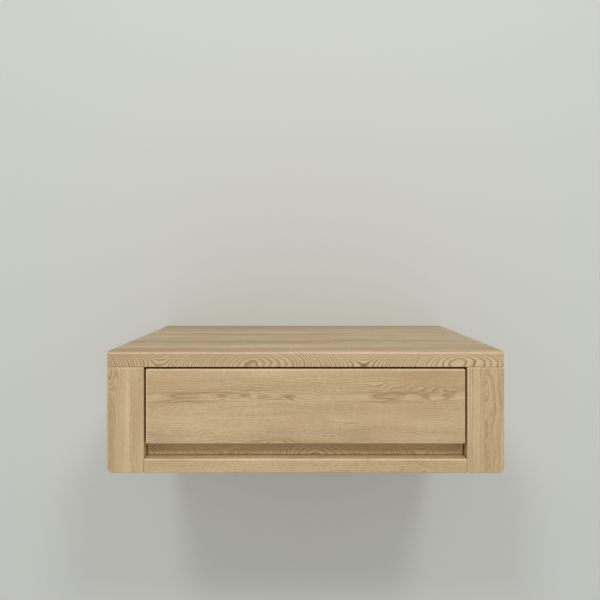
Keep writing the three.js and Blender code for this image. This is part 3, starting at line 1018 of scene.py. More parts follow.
# A warmer copy of the oak for the box's front, which paints the warm light bounced round the recess.
RECESS_BOUNCE_OAK = replace(OAK, name="warm_oak", pale=srgb(210, 182, 132), body=srgb(186, 154, 102))
BIRCH = Wood(
    name="birch",
    pale=srgb(217, 198, 163),
    body=srgb(205, 182, 143),
    dark=srgb(158, 124, 84),
    rosy=srgb(212, 184, 148),
    streaks=1.2,
    pores=0.12,
    rings=Rings(lines=0.22),
    wear=Wear(light=0.15),
    plies=Plies(thickness=1.35),
    sheen=Sheen(roughness=0.5),
)
PINE = Wood(
    name="pine",
    pale=srgb(222, 196, 148),
    body=srgb(208, 176, 124),
    dark=srgb(170, 118, 66),
    rosy=srgb(214, 176, 130),
    streaks=1.0,
    pores=0.06,
    wear=Wear(light=0.1),
    sheen=Sheen(roughness=0.6),
)
BEECH = Wood(
    name="beech",
    pale=srgb(208, 172, 134),
    body=srgb(192, 152, 112),
    dark=srgb(150, 104, 68),
    rosy=srgb(200, 156, 122),
    rings=Rings(lines=0.25),
    wear=Wear(light=0.1),
    sheen=Sheen(roughness=0.55),
)
ZINC = Metal("zinc_steel", srgb(182, 186, 190), srgb(160, 165, 170), 0.33)
CAGE = Metal("cage_steel", srgb(152, 155, 158), srgb(134, 137, 141), 0.28)
ROLLED = Cells((0.6, 0.6, 0.6), 3, 0.6)
SCREW = Metal("screw_steel", srgb(206, 194, 158), srgb(186, 176, 150), 0.3, mark_cells=ROLLED)


# Meshes


class Shape:
    """A closed mesh that is being made, in the frame's place."""

    def __init__(self, name: str, points: Sequence[Any], faces: Sequence[Sequence[int]]) -> None:
        """Makes the mesh from its points and faces."""
        mesh = bpy.data.meshes.new(name)
        mesh.from_pydata([tuple(point) for point in points], [], faces)
        self.thing = bpy.data.objects.new(name, mesh)
        bpy.context.scene.collection.objects.link(self.thing)

    @classmethod
    def box(cls, name: str, low: Vector, high: Vector) -> "Shape":
        """A box between two corners."""
        ends = (low, high)
        points = [(ends[i][0], ends[j][1], ends[k][2]) for k in (0, 1) for j in (0, 1) for i in (0, 1)]
        faces = [(0, 2, 3, 1), (4, 5, 7, 6), (0, 1, 5, 4), (1, 3, 7, 5), (3, 2, 6, 7), (2, 0, 4, 6)]
        return cls(name, points, faces)

    @classmethod
    def stack(cls, name: str, rings: Sequence[Sequence[Vector]], low: Vector, high: Vector) -> "Shape":
        """A closed skin over rings of as many points each, with a pole at both ends.

        Args:
            name: The mesh's name.
            rings: The rings from low to high, each counterclockwise from above.
            low: The lower pole.
            high: The upper pole.

        Returns:
            The shape.
        """
        count = len(rings[0])
        points = [point for ring in rings for point in ring] + [low, high]
        faces = []
        for level in range(len(rings) - 1):
            for i in range(count):
                j = (i + 1) % count
                a, b = level * count, (level + 1) * count
                faces.append((a + i, a + j, b + j, b + i))
        last = (len(rings) - 1) * count
        for i in range(count):
            j = (i + 1) % count
            faces.append((j, i, len(points) - 2))
            faces.append((last + i, last + j, len(points) - 1))
        return cls(name, points, faces)

    @classmethod
    def turned(cls, name: str, profile: Sequence[Pair], sides: int) -> "Shape":
        """A shape turned around Z from (radius, height) pairs, from its lower end up.

        Args:
            name: The mesh's name.
            profile: The pairs. The first and last lie on the axis.
            sides: How many sides it has.

        Returns:
            The shape.
        """
        turns = [2 * math.pi * i / sides for i in range(sides)]
        rings = [
            [Vector((radius * math.cos(t), radius * math.sin(t), height)) for t in turns]
            for radius, height in profile[1:-1]
        ]
        return cls.stack(name, rings, Vector((0, 0, profile[0][1])), Vector((0, 0, profile[-1][1])))

    @classmethod
    def ball(cls, name: str, middle: Vector, radius: float, sides: int) -> "Shape":
        """A ball around a place."""
        turns = [math.pi * (step / (sides // 2) - 0.5) for step in range(sides // 2 + 1)]
        profile = [(radius * math.cos(turn), radius * math.sin(turn)) for turn in turns]
        return cls.turned(name, profile, sides).moved(Matrix.Translation(middle))

    @classmethod
    def prism(cls, name: str, outline: Sequence[Pair], low: float, high: float) -> "Shape":
        """An outline in X and Z, counterclockwise from the front, drawn out along Y.

        Args:
            name: The mesh's name.
            outline: The (x, z) pairs.
            low: Where it starts.
            high: Where it ends.

        Returns:
            The shape.
        """
        count = len(outline)
        points = [(x, y, z) for y in (low, high) for x, z in outline]
        faces = [(i, (i + 1) % count, (i + 1) % count + count, i + count)[::-1] for i in range(count)]
        faces.append(tuple(range(count)))
        faces.append(tuple(range(count, 2 * count))[::-1])
        return cls(name, points, faces)

    def rounded(self, radii: dict[int, Radii], plain: float, segments: int) -> "Shape":
        """Rounds the edges of a box.

        Args:
            radii: For an axis, the radii of its four edges, in the order low-low, high-low,
                high-high, low-high of the next two axes.
            plain: The radius of the edges along any other axis.
            segments: How many faces go round a quarter turn.

        Returns:
            This shape.
        """
        mesh = self.thing.data
        corners = [Vector(v.co) for v in mesh.vertices]
        middle = sum(corners, Vector()) / len(corners)
        order = ((False, False), (True, False), (True, True), (False, True))
        found = []
        for edge in mesh.edges:
            start, end = (corners[i] for i in edge.vertices)
            axis = max(range(3), key=lambda k: abs(end[k] - start[k]))
            sides = tuple(start[(axis + k) % 3] > middle[(axis + k) % 3] for k in (1, 2))
            found.append(radii.get(axis, (plain,) * 4)[order.index(sides)])
        return self._bevelled(found, segments)

    def ends_rounded(self, axis: int, radii: Pair, segments: int) -> "Shape":
        """Rounds the edges round both ends of a shape that is drawn out along an axis.

        Args:
            axis: The axis, by its number.
            radii: The radius at the low end, and at the high one.
            segments: How many faces go round a quarter turn.

        Returns:
            This shape.
        """
        mesh = self.thing.data
        levels = [vertex.co[axis] for vertex in mesh.vertices]
        near = min(radii) * END_SHARE
        found = []
        for edge in mesh.edges:
            start, end = (levels[i] for i in edge.vertices)
            gaps = (max(abs(start - level), abs(end - level)) for level in (min(levels), max(levels)))
            found.append(sum(radius for radius, gap in zip(radii, gaps) if gap < near))
        return self._bevelled(found, segments)

    def _bevelled(self, radii: Sequence[float], segments: int) -> "Shape":
        """Rounds each edge by its own radius, given in the order of the mesh's edges."""
        name, attributes = "bevel_weight_edge", self.thing.data.attributes
        weights = attributes.get(name) or attributes.new(name, "FLOAT", "EDGE")
        for weight, radius in zip(weights.data, radii):
            weight.value = radius / max(radii)
        bevel = self.thing.modifiers.new("round", "BEVEL")
        bevel.limit_method = "WEIGHT"
        bevel.width = max(radii)
        bevel.segments = segments
        return self.settled()

    def less(self, *others: "Shape") -> "Shape":
        """Takes other shapes out of this one."""
        return self._combined("DIFFERENCE", others)

    def more(self, *others: "Shape") -> "Shape":
        """Joins other shapes to this one in a single skin."""
        return self._combined("UNION", others)

    def _combined(self, operation: str, others: Sequence["Shape"]) -> "Shape":
        """Combines this shape with others, and removes those.

        Args:
            operation: How a Boolean modifier is to combine them.
            others: The other shapes.

        Returns:
            This shape.
        """
        for other in others:
            step = self.thing.modifiers.new("combine", "BOOLEAN")
            step.solver = "EXACT"
            step.operation = operation
            step.object = other.thing
        self.settled()
        for other in others:
            bpy.data.objects.remove(other.thing)
        return self

    def settled(self) -> "Shape":
        """Applies the modifiers to the mesh."""
        bpy.context.view_layer.update()
        seen = self.thing.evaluated_get(bpy.context.evaluated_depsgraph_get())
        mesh = bpy.data.meshes.new_from_object(seen)
        self.thing.modifiers.clear()
        self.thing.data = mesh
        return self

    def moved(self, place: Matrix) -> "Shape":
        """Moves the mesh itself."""
        self.thing.data.transform(place)
        return self

    def stand_for(self, node: str, slot: Slot, material: bpy.types.Material) -> bpy.types.Object:
        """Ends the shape as the piece that stands for a CAD node.

        Args:
            node: The node, whose name the piece takes with an ending, and whose body it rides on.
            slot: The finish that the log names for it.
            material: Its material.

        Returns:
            The piece.
        """
        piece = self.thing
        piece.name = f"{node}_piece"
        mesh = piece.data
        mesh.name = piece.name
        mesh.materials.clear()
        mesh.materials.append(material)
        mesh.shade_smooth()
        mesh.set_sharp_from_angle(angle=math.radians(SHARP_ANGLE))
        even = piece.modifiers.new("even_normals", "WEIGHTED_NORMAL")
        even.keep_sharp = True
        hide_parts(node)
        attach(piece, body_of(node))
        LOG.info("%s: %d faces, in %s", piece.name, len(mesh.polygons), slot.value)
        return piece


# Boards


@dataclass(frozen=True)
class BlockSeat:
    """Room for the whole box of another piece, such as a groove or a housing."""

    node: str
    clearance: float = 0.25 * MM

    def cutter(self) -> Shape:
        """The shape to take out."""
        low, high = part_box(self.node)
        room = Vector((self.clearance,) * 3)
        return Shape.box(f"seat_{self.node}", low - room, high + room)


@dataclass(frozen=True)
class RoundSeat:
    """A round hole along another piece, such as a dowel or a screw."""

    node: str
    radius: float
    end_space: float
    sides: int = 24

    def cutter(self) -> Shape:
        """The shape to take out."""
        low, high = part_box(self.node)
        size = high - low
        axis = max(range(3), key=lambda k: size[k])
        half = size[axis] / 2 + self.end_space
        profile = [(0, -half), (self.radius, -half), (self.radius, half), (0, half)]
        turn = Vector((0, 0, 1)).rotation_difference(Vector([float(k == axis) for k in range(3)]))
        place = Matrix.Translation((low + high) / 2) @ turn.to_matrix().to_4x4()
        return Shape.turned(f"seat_{self.node}", profile, self.sides).moved(place)


@dataclass(frozen=True)
class Board:
    """A board that takes the place of its plain solid: its edges, its seats and its grain."""

    node: str
    grain: Grain
    figure: Figure
    radii: dict[int, Radii]
    seats: tuple[BlockSeat | RoundSeat, ...]
    ends: Pair | None = None
    wood: Wood = OAK
    plain_radius: float = 1.2 * MM
    segments: int = 8

    def make(self, *extra: Shape) -> bpy.types.Object:
        """Builds the board and dresses it in its wood.

        Args:
            extra: Shapes to take out besides the seats.

        Returns:
            The piece.
        """
        shape = Shape.box(self.node, *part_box(self.node))
        if self.ends:
            shape.rounded(self.radii, 0, self.segments).ends_rounded(1, self.ends, self.segments)
        else:
            shape.rounded(self.radii, self.plain_radius, self.segments)
        shape.less(*(seat.cutter() for seat in self.seats), *extra)
        material = self.wood.dress(self.node, self.grain, self.figure)
        return shape.stand_for(self.node, Slot.OAK, material)


def dress_node(node: str, material: bpy.types.Material) -> None:
    """Gives a CAD node that stays in sight its material."""
    for slot in frame["nodes"][node].material_slots:
        slot.material = material
    LOG.info("%s: the frame's own mesh, in %s", node, material.name)


def numbered(row: str) -> list[str]:
    """The nodes of a row of like pieces, in the order of their numbers."""
    return sorted(node for node in frame["nodes"] if node.startswith(f"{row}_"))


def round_seats(rows: Iterable[str], radius: float, end_space: float) -> tuple[RoundSeat, ...]:
    """Round holes along every piece of some rows."""
    return tuple(RoundSeat(node, radius, end_space) for row in rows for node in numbered(row))


@dataclass
class Cabinet:
    """The fixed part: top, two sides, bottom and back, with the dowels and the hanging rails.

    The stave's width, the middle of one arch of the top and its level above the board's underside,
    and the place of the pale band of painted light on the recess's floor are millimetres.
    """

    top_front_radius: float = 4.6 * MM
    top_lower_radius: float = 0.5 * MM
    top_radius: float = 3 * MM
    front_radius: float = 2 * MM
    side_radius: float = 7 * MM
    side_eased: float = 2.1 * MM
    side_ends: Pair = (1.6 * MM, 1.2 * MM)
    bottom_radius: float = 1.7 * MM
    eased: float = 1.6 * MM
    dowel_hole: float = 4.15 * MM
    dowel_space: float = 1 * MM
    screw_hole: float = 1.95 * MM
    screw_space: float = 0.2 * MM
    stave: float = 82.0
    arch_middle: float = -55.9
    arch_rise: float = 1.5
    glow_depth: float = 8.0
    glow_rise: float = 0.1

    def build(self) -> None:
        """Builds every piece in order."""
        self.top()
        for side in Side:
            self.side(side)
        self.bottom()
        self.back()
        self.rails()
        self.dowels()

    def dowel_seats(self, *rows: str) -> tuple[RoundSeat, ...]:
        """Holes for the dowels of some rows."""
        return round_seats(rows, self.dowel_hole, self.dowel_space)

    def top(self) -> None:
        """The top board, with its bold arched grain on the front edge."""
        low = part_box("top_panel")[0] / MM
        figure = Figure(
            pith=(300, 0),
            seed=2.0,
            stave=self.stave,
            sway=(14, 12),
            arches=Arches(face=low.y, middle=self.arch_middle, level=low.z + self.arch_rise),
            streak=26,
            contrast=0.72,
            texture=1.3,
            worn=0.3,
            clouds=3.0,
            # Painted shade darkens the top's upper face and the upper part of its front rounding.
            shade=0.24,
            tone=0.02,
        )
        radii = {
            0: (self.top_lower_radius, self.eased, self.eased, self.top_front_radius),
            1: (self.eased, self.top_radius, self.top_radius, self.eased),
            2: (self.front_radius, self.front_radius, self.eased, self.eased),
        }
        dowels = self.dowel_seats("left_top_dowel", "right_top_dowel")
        seats = (*dowels, BlockSeat("back_panel"))
        Board("top_panel", Grain.SIDEWAYS_FLAT, figure, radii, seats).make()

    def side(self, side: Side) -> None:
        """A side board, whose front end reads as a post of upright grain."""
        label, eased = side.label, self.side_eased
        outer = (eased, eased, eased, self.side_radius)
        if side is Side.LEFT:
            outer = (self.side_radius, eased, eased, eased)
        seats = (
            *self.dowel_seats(*(f"{label}_{end}_dowel" for end in ("top", "bottom", "rail"))),
            *round_seats([f"{label}_cabinet_slide_screw"], self.screw_hole, self.screw_space),
            BlockSeat("back_panel"),
        )
        figure = self.left_figure() if side is Side.LEFT else self.right_figure()
        Board(f"{label}_side", Grain.UPRIGHT, figure, {1: outer}, seats, self.side_ends).make()

    def left_figure(self) -> Figure:
        """Straight grain, with a small flame and a darker streak near the outer edge."""
        return Figure(
            pith=(-46, 96),
            seed=5.0,
            stave=self.stave,
            ring=2.8,
            sway=(18, 14),
            swells=Spot.on_face("left_side", (-250, 62, 10, 34, 7), depth=22),
            patches=Spot.on_face(
                "left_side",
                (-245, -20, 5, 70, 0.3),
                (-224, 10, 3, 80, -0.5),
                depth=26,
            ),
            contrast=0.6,
            texture=1.4,
            worn=0.7,
            tone=0.14,
        )

    def right_figure(self) -> Figure:
        """Flat-sawn grain, with a narrow flame down the middle."""
        return Figure(
            pith=(-14, 4),
            seed=9.0,
            stave=self.stave,
            ring=2.6,
            sway=(9, 6),
            swells=Spot.on_face(
                "right_side",
                (227, 40, 4.5, 16, 2.2),
                (227, -8, 3.6, 20, 1.3),
                (229, -52, 5, 16, 2.4),
                depth=20,
            ),
            patches=Spot.on_face("right_side", (228, -30, 3.2, 34, 0.25), depth=24),
            contrast=0.45,
            texture=1.4,
            worn=0.7,
            tone=0.06,
        )

    def bottom(self) -> None:
        """The bottom board, between the sides."""
        low, high = (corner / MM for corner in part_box("bottom_panel"))
        eye = (-106, -57, 9, 7, 2.4)
        # A pale band of painted light on the recess's floor, behind its front edge, where light bounces
        # in.
        glow = Spot((0, low.y + self.glow_depth, high.z + self.glow_rise), (300, 14, 2), -0.8)
        figure = Figure(
            pith=(-44, -80),
            seed=14.0,
            stave=self.stave,
            ring=2.6,
            sway=(16, 10),
            swells=Spot.on_face("bottom_panel", eye, depth=20, shifts=(0, GRAIN_PITCH)),
            patches=(glow,),
            contrast=0.45,
            texture=1.8,
            worn=0.55,
            tone=0.03,
        )
        radii = {0: (self.eased, self.eased, self.eased, self.bottom_radius)}
        dowels = self.dowel_seats("left_bottom_dowel", "right_bottom_dowel")
        seats = (*dowels, BlockSeat("back_panel"))
        Board("bottom_panel", Grain.SIDEWAYS_FLAT, figure, radii, seats).make()

    def back(self) -> None:
        """The plywood back, which stays as the frame has it."""
        figure = Figure(pith=(-60, 130), seed=21.0, ring=5.2, sway=(60, 30), contrast=0.9)
        dress_node("back_panel", BIRCH.dress("back_panel", Grain.SIDEWAYS_UPRIGHT, figure))

    def rails(self) -> None:
        """The two hooked hanging rails."""
        for number, node in enumerate(("cabinet_rail", "wall_rail")):
            figure = Figure(pith=(-38, 26), seed=31.0 + number, ring=3.6, sway=(24, 12))
            dress_node(node, PINE.dress(node, Grain.SIDEWAYS_UPRIGHT, figure))

    def dowels(self) -> None:
        """The dowels inside the joints."""
        grains = {"top": Grain.UPRIGHT, "bottom": Grain.SIDEWAYS_FLAT, "rail": Grain.SIDEWAYS_FLAT}
        for side in Side:
            for end, grain in grains.items():
                for number, node in enumerate(numbered(f"{side.label}_{end}_dowel")):
                    figure = Figure(pith=(-14, 9), seed=41.0 + number, ring=1.4, sway=(4, 3))
                    dress_node(node, BEECH.dress(node, grain, figure))


@dataclass
class Drawer:
    """The drawer: its flush front, and the box behind it.

    The middle of one arch of the box's front, and its level below the board, are millimetres.
    """

    front_edge: float = 2 * MM
    box_edge: float = 0.8 * MM
    eased: float = 1.2 * MM
    groove_depth: float = 8 * MM
    groove_height: float = 12 * MM
    groove_radius: float = 4 * MM
    groove_segments: int = 6
    overrun: float = 2 * MM
    screw_hole: float = 2.2 * MM
    screw_space: float = 0.2 * MM
    arch_middle: float = 19.0
    arch_drop: float = 3.0

    def build(self) -> None:
        """Builds every piece in order."""
        self.front()
        self.box_front()
        self.box()

    def screw_seats(self) -> tuple[RoundSeat, ...]:
        """Holes for the screws of the front."""
        return round_seats(["drawer_front_screw"], self.screw_hole, self.screw_space)

    def front(self) -> None:
        """The front, in one board with small eyes in its grain."""
        edge, eased = self.front_edge, self.eased
        radii = {
            0: (edge, eased, eased, edge),
            1: (edge,) * 4,
            2: (edge, eased, eased, eased),
        }
        eyes = (
            (-151, 31, 21, 4.4, 1.0),
            (-104, 31.5, 9, 3.6, 1.5),
            (-76, 31.5, 9, 3, 1.2),
            (-24, 31, 15, 4, 1.9),
            (-2, 41, 28, 6, 2.2),
            (50, 31, 16, 5, 1.6),
            (-82, 45, 45, 8, 2.2),
            (-164, 42, 22, 6, -1.6),
            (-182, -23, 12, 5, 2.4),
            (-125, -11, 15, 4, 1.6),
            (-32, -23, 19, 6, 2.6),
        )
        clouds = (
            (-144, 36.7, 55, 1.3, 0.5),
            (-150, 25.6, 55, 1.3, 0.45),
            (-105, 51, 3, 2.4, 0.25),
            (-115, 2, 80, 9, -0.2),
            (-187, -18, 30, 10, 0.16),
            (-28, -18, 38, 11, 0.18),
            (-85, 44, 60, 8, 0.14),
        )
        lobes = (
            (-151, 32.2, 20, 4.1, 0.6),
            (-148, 32.4, 16, 2.4, -0.36),
            (-167, 32.2, 3, 2.4, 0.3),
            (-188, 32.3, 12, 2.4, -0.24),
            (-127, 33.4, 6, 1.8, -0.3),
            (-105, 32.9, 6, 2.6, 0.5),
            (-76, 33.2, 8, 2.4, 0.5),
            (-65, 32.6, 5, 1.2, -0.34),
            (-52, 31.6, 11, 3.6, 0.36),
            (-38, 33.2, 4, 1.2, -0.26),
            (-20, 32.3, 8, 3.3, 0.5),
            (-32, 28.8, 11, 1.1, 0.4),
            (50, 31.4, 14, 1.4, -0.3),
        )
        band = (0, 31, 400, 4, -0.14)
        figure = Figure(
            pith=(-190, 30),
            seed=3.0,
            ring=2.6,
            sway=(22, 14),
            swells=self.repeated(*eyes),
            patches=(
                *Spot.on_face("drawer_front", band, depth=20),
                *self.repeated(*clouds),
                *self.repeated(*lobes, crisp=2.0),
            ),
            ripple=1.1,
            contrast=0.45,
            texture=1.6,
            worn=1.3,
            tone=-0.1,
        )
        board = Board("drawer_front", Grain.SIDEWAYS_UPRIGHT, figure, radii, self.screw_seats())
        board.make(self.finger_groove())

    def repeated(self, *rows: Sequence[float], crisp: float = 1.0) -> tuple[Spot, ...]:
        """Spots on the front, and the same again one pitch to the right, where it reaches."""
        return Spot.on_face("drawer_front", *rows, shifts=(0, GRAIN_PITCH), crisp=crisp)

    def finger_groove(self) -> Shape:
        """The groove along the lower edge of the front's back, for the fingers."""
        low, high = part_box("drawer_front")
        run = self.overrun
        start = Vector((low.x - run, high.y - self.groove_depth, low.z - run))
        end = Vector((high.x + run, high.y + run, low.z + self.groove_height))
        cutter = Shape.box("finger_groove", start, end)
        return cutter.rounded({0: (0, 0, 0, self.groove_radius)}, 0, self.groove_segments)

    def box_front(self) -> None:
        """The front of the box, which also closes the finger recess at its back."""
        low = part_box("drawer_box_front")[0] / MM
        figure = Figure(
            pith=(0, 300),
            seed=7.0,
            sway=(12, 10),
            arches=Arches(face=low.y, middle=self.arch_middle, level=low.z - self.arch_drop),
            # The dark patch along the lower edge is painted shade where the box's front meets the
            # recess's floor.
            patches=(Spot((0, low.y, low.z), (400, 10, 1.8), 0.5),),
            contrast=0.6,
            tone=0.16,
        )
        radii = {0: (self.box_edge, self.eased, self.eased, self.eased)}
        seats = (
            BlockSeat("drawer_left_side"),
            BlockSeat("drawer_right_side"),
            BlockSeat("drawer_bottom"),
            *self.screw_seats(),
        )
        grain = Grain.SIDEWAYS_UPRIGHT
        # The warmer oak paints the warm bounced light in the recess.
        Board("drawer_box_front", grain, figure, radii, seats, wood=RECESS_BOUNCE_OAK).make()

    def box(self) -> None:
        """The sides, back and bottom of the box, which stay as the frame has them."""
        for side in Side:
            node = f"drawer_{side.label}_side"
            figure = Figure(pith=(-60, 40), seed=51.0 + side.value, ring=4.2, sway=(30, 16))
            dress_node(node, BIRCH.dress(node, Grain.FORWARD, figure))
        figure = Figure(pith=(-50, 40), seed=55.0, ring=4.2, sway=(30, 16))
        dress_node("drawer_back", BIRCH.dress("drawer_back", Grain.SIDEWAYS_UPRIGHT, figure))
        figure = Figure(pith=(40, 120), seed=57.0, ring=6.5, sway=(70, 40))
        dress_node("drawer_bottom", BIRCH.dress("drawer_bottom", Grain.SIDEWAYS_FLAT, figure))


# Fittings


@dataclass(frozen=True)
class Screw:
    """A pan-head screw with a rolled thread and a cross recess. It is made with its tip down.

    The tip is a share of the shank's length, the rim one of the head's height, and the recess has
    its arms' reach and half width as shares of the head's radius and its depth as one of the
    head's height. Taper is how wide it is at its bottom and its top, and overrun how high its
    cutter goes, in heads. Crown is the power that rounds the head.
    """

    radius: float
    head_radius: float
    head_height: float
    pitch: float = 1.4 * MM
    thread: float = 0.32 * MM
    core: float = 0.15 * MM
    tip_share: float = 0.22
    rim_share: float = 0.2
    crown: float = 2 / 3
    recess_shares: Point = (0.56, 0.13, 0.6)
    recess_taper: Pair = (0.55, 1.1)
    recess_overrun: float = 1.1
    sides: int = 20
    steps_in_turn: int = 6
    crown_steps: int = 8

    def make(self, node: str, towards: Vector, material: bpy.types.Material) -> bpy.types.Object:
        """Builds the screw where its node is.

        Args:
            node: The node that it stands for.
            towards: The way its tip points, along one axis.
            material: Its material.

        Returns:
            The piece.
        """
        low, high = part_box(node)
        axis = max(range(3), key=lambda k: abs(towards[k]))
        seat = (low + high) / 2
        head_end = low[axis] if towards[axis] > 0 else high[axis]
        seat[axis] = head_end + towards[axis] * self.head_height
        rings = self._shank((high - low)[axis] - self.head_height) + self._head()
        tip = Vector((0, 0, self.head_height - (high - low)[axis]))
        turn = Vector((0, 0, -1)).rotation_difference(towards).to_matrix().to_4x4()
        crown = Vector((0, 0, self.head_height))
        shape = Shape.stack(node, rings, tip, crown).less(self._recess())
        shape.moved(Matrix.Translation(seat) @ turn)
        return shape.stand_for(node, Slot.SCREW, material)

    def _ring(self, radius: Any, height: float) -> list[Vector]:
        """A ring of points. The radius is a function of the turn, 0 to 1."""
        ring = []
        for step in range(self.sides):
            share = step / self.sides
            angle, reach = 2 * math.pi * share, radius(share)
            ring.append(Vector((reach * math.cos(angle), reach * math.sin(angle), height)))
        return ring

    def _shank(self, length: float) -> list[list[Vector]]:
        """The rings of the threaded shank, from the tip to the head."""
        count = round(length / self.pitch * self.steps_in_turn)
        rings = []
        for step in range(1, count + 1):
            height = -length + length * step / count
            outer = self.radius * min(1, step / count / self.tip_share)

            def reach(turn: float, height: float = height, outer: float = outer) -> float:
                """The thread's radius at a turn round the axis."""
                tooth = abs(((height / self.pitch - turn) % 1) * 2 - 1)
                return max(outer - self.thread * tooth, min(outer, self.core))

            rings.append(self._ring(reach, height))
        return rings

    def _head(self) -> list[list[Vector]]:
        """The rings of the domed head, from its underside up."""
        rim = self.head_height * self.rim_share
        rings = [self._ring(lambda _: self.head_radius - rim / 2, 0)]
        for step in range(self.crown_steps):
            angle = math.pi / 2 * step / self.crown_steps
            radius = self.head_radius * math.cos(angle) ** self.crown
            height = rim + (self.head_height - rim) * math.sin(angle) ** self.crown
            rings.append(self._ring(lambda _, radius=radius: radius, height))
        return rings

    def _recess(self) -> Shape:
        """The shape of the cross recess, narrower at its bottom."""
        reach, width, depth = self.recess_shares
        arm, half = reach * self.head_radius, width * self.head_radius
        cross = [(half, -arm), (half, -half), (arm, -half), (arm, half), (half, half), (half, arm)]
        cross += [(-x, -y) for x, y in cross]
        levels = (self.head_height * (1 - depth), self.head_height * self.recess_overrun)
        rings = [
            [Vector((x * scale, y * scale, level)) for x, y in cross]
            for scale, level in zip(self.recess_taper, levels)
        ]
        return Shape.stack("recess", rings, *(Vector((0, 0, level)) for level in levels))


def bent_sheet(path: Sequence[Pair], sheet: float, bend: float, steps: int = 6) -> list[Pair]:
    """Works out the outline of a sheet of even thickness with square, rounded bends.

    Args:
        path: The (x, z) corners of the sheet's middle line.
        sheet: The thickness.
        bend: The radius of the middle line in each bend.
        steps: How many faces go round a bend.

    Returns:
        The (x, z) outline, counterclockwise from the front.
    """
    corners = [Vector(point) for point in path]
    ways = [(end - start).normalized() for start, end in zip(corners, corners[1:])]
    line = [(corners[0], ways[0])]
    for corner, before, after in zip(corners[1:], ways, ways[1:]):
        middle = corner + (after - before) * bend
        for step in range(steps + 1):
            turn = math.pi / 2 * step / steps
            way = before * math.cos(turn) + after * math.sin(turn)
            line.append((middle + (before * math.sin(turn) - after * math.cos(turn)) * bend, way))
    line.append((corners[-1], ways[-1]))
    edges = [[p + Vector((-w.y, w.x)) * (side * sheet / 2) for p, w in line] for side in (1, -1)]
    outline = [tuple(point) for point in edges[0] + edges[1][::-1]]
    area = sum(a[0] * b[1] - b[0] * a[1] for a, b in zip(outline, outline[1:] + outline[:1]))
    return outline if area > 0 else outline[::-1]


@dataclass
class Slide:
    """One ball-bearing drawer slide: three members bent from sheet, two ball cages, the screws."""

    side: Side
    zinc: bpy.types.Material
    cage: bpy.types.Material
    screws: bpy.types.Material
    outer_sheet: float = 1.2 * MM
    middle_sheet: float = 1.0 * MM
    inner_sheet: float = 1.2 * MM
    cage_sheet: float = 0.7 * MM
    lip: float = 2.1 * MM
    bend: float = 1.2 * MM
    cage_bend: float = 0.8 * MM
    hole: float = 1.95 * MM
    access_hole: float = 4.5 * MM
    hole_reach: float = 3 * MM
    ball: float = 1.7 * MM
    ball_sides: int = 24
    balls_in_row: int = 5
    screw: Screw = Screw(1.75 * MM, 3.5 * MM, 1.25 * MM)

    def build(self) -> None:
        """Builds every piece in order."""
        label = self.side.label
        outer = numbered(f"{label}_cabinet_slide_screw")
        inner = numbered(f"{label}_drawer_slide_screw")
        self.member("cabinet_member", self.outer_sheet, self.lip, outer, self.hole)
        self.member("middle_member", self.middle_sheet, self.lip, outer, self.access_hole)
        self.member("drawer_member", self.inner_sheet, 0, inner, self.hole)
        self.ball_cage("outer_ball_cage")
        self.ball_cage("inner_ball_cage")
        outwards = Vector((self.side.value, 0, 0))
        for names, towards in ((outer, outwards), (inner, -outwards)):
            for name in names:
                self.screw.make(name, towards, self.screws)

    def member(self, part: str, sheet: float, lip: float, screws: list[str], hole: float) -> None:
        """One member, a channel whose flanges end in lips unless the lip is 0.

        Args:
            part: The end of the member's name. The drawer member opens the other way.
            sheet: The thickness of its sheet.
            lip: How far the lips turn back.
            screws: The screws that its holes are in line with.
            hole: The holes' radius.
        """
        node = f"{self.side.label}_slide_{part}"
        low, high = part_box(node)
        way = -self.side.value if part == "drawer_member" else self.side.value
        web, tip = (high.x, low.x) if way > 0 else (low.x, high.x)
        web -= way * sheet / 2
        bottom, top = low.z + sheet / 2, high.z - sheet / 2
        path = [(web, bottom), (web, top)]
        if lip:
            tip += way * sheet / 2
            path = [(tip, bottom + lip), (tip, bottom), *path, (tip, top), (tip, top - lip)]
        else:
            path = [(tip, bottom), *path, (tip, top)]
        shape = Shape.prism(node, bent_sheet(path, sheet, self.bend), low.y, high.y)
        shape.less(*(RoundSeat(name, hole, self.hole_reach).cutter() for name in screws))
        shape.stand_for(node, Slot.ZINC, self.zinc)

    def ball_cage(self, part: str) -> None:
        """One cage: a thin channel whose flanges hold two rows of balls."""
        node = f"{self.side.label}_slide_{part}"
        low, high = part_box(node)
        way = self.side.value
        web, tip = (high.x, low.x) if way > 0 else (low.x, high.x)
        web -= way * self.cage_sheet / 2
        bottom, top = low.z + self.ball, high.z - self.ball
        end = tip + way * self.ball / 2
        path = [(end, bottom), (web, bottom), (web, top), (end, top)]
        shape = Shape.prism(node, bent_sheet(path, self.cage_sheet, self.cage_bend), low.y, high.y)
        pitch = (high.y - low.y) / self.balls_in_row
        middles = [
            Vector((tip + way * self.ball, low.y + (number + 0.5) * pitch, height))
            for height in (bottom, top)
            for number in range(self.balls_in_row)
        ]
        shape.more(*(Shape.ball("ball", middle, self.ball, self.ball_sides) for middle in middles))
        shape.stand_for(node, Slot.CAGE, self.cage)


@dataclass
class Fittings:
    """The bought-in parts: the two slides, and the screws of the drawer front."""

    front_screw: Screw = Screw(2 * MM, 4.2 * MM, 2.4 * MM, pitch=1.8 * MM, thread=0.45 * MM)

    def build(self) -> None:
        """Builds every piece in order."""
        zinc, cage, screws = ZINC.dress(), CAGE.dress(), SCREW.dress()
        for side in Side:
            Slide(side, zinc, cage, screws).build()
        for name in numbered("drawer_front_screw"):
            self.front_screw.make(name, Vector((0, -1, 0)), screws)


# Studio


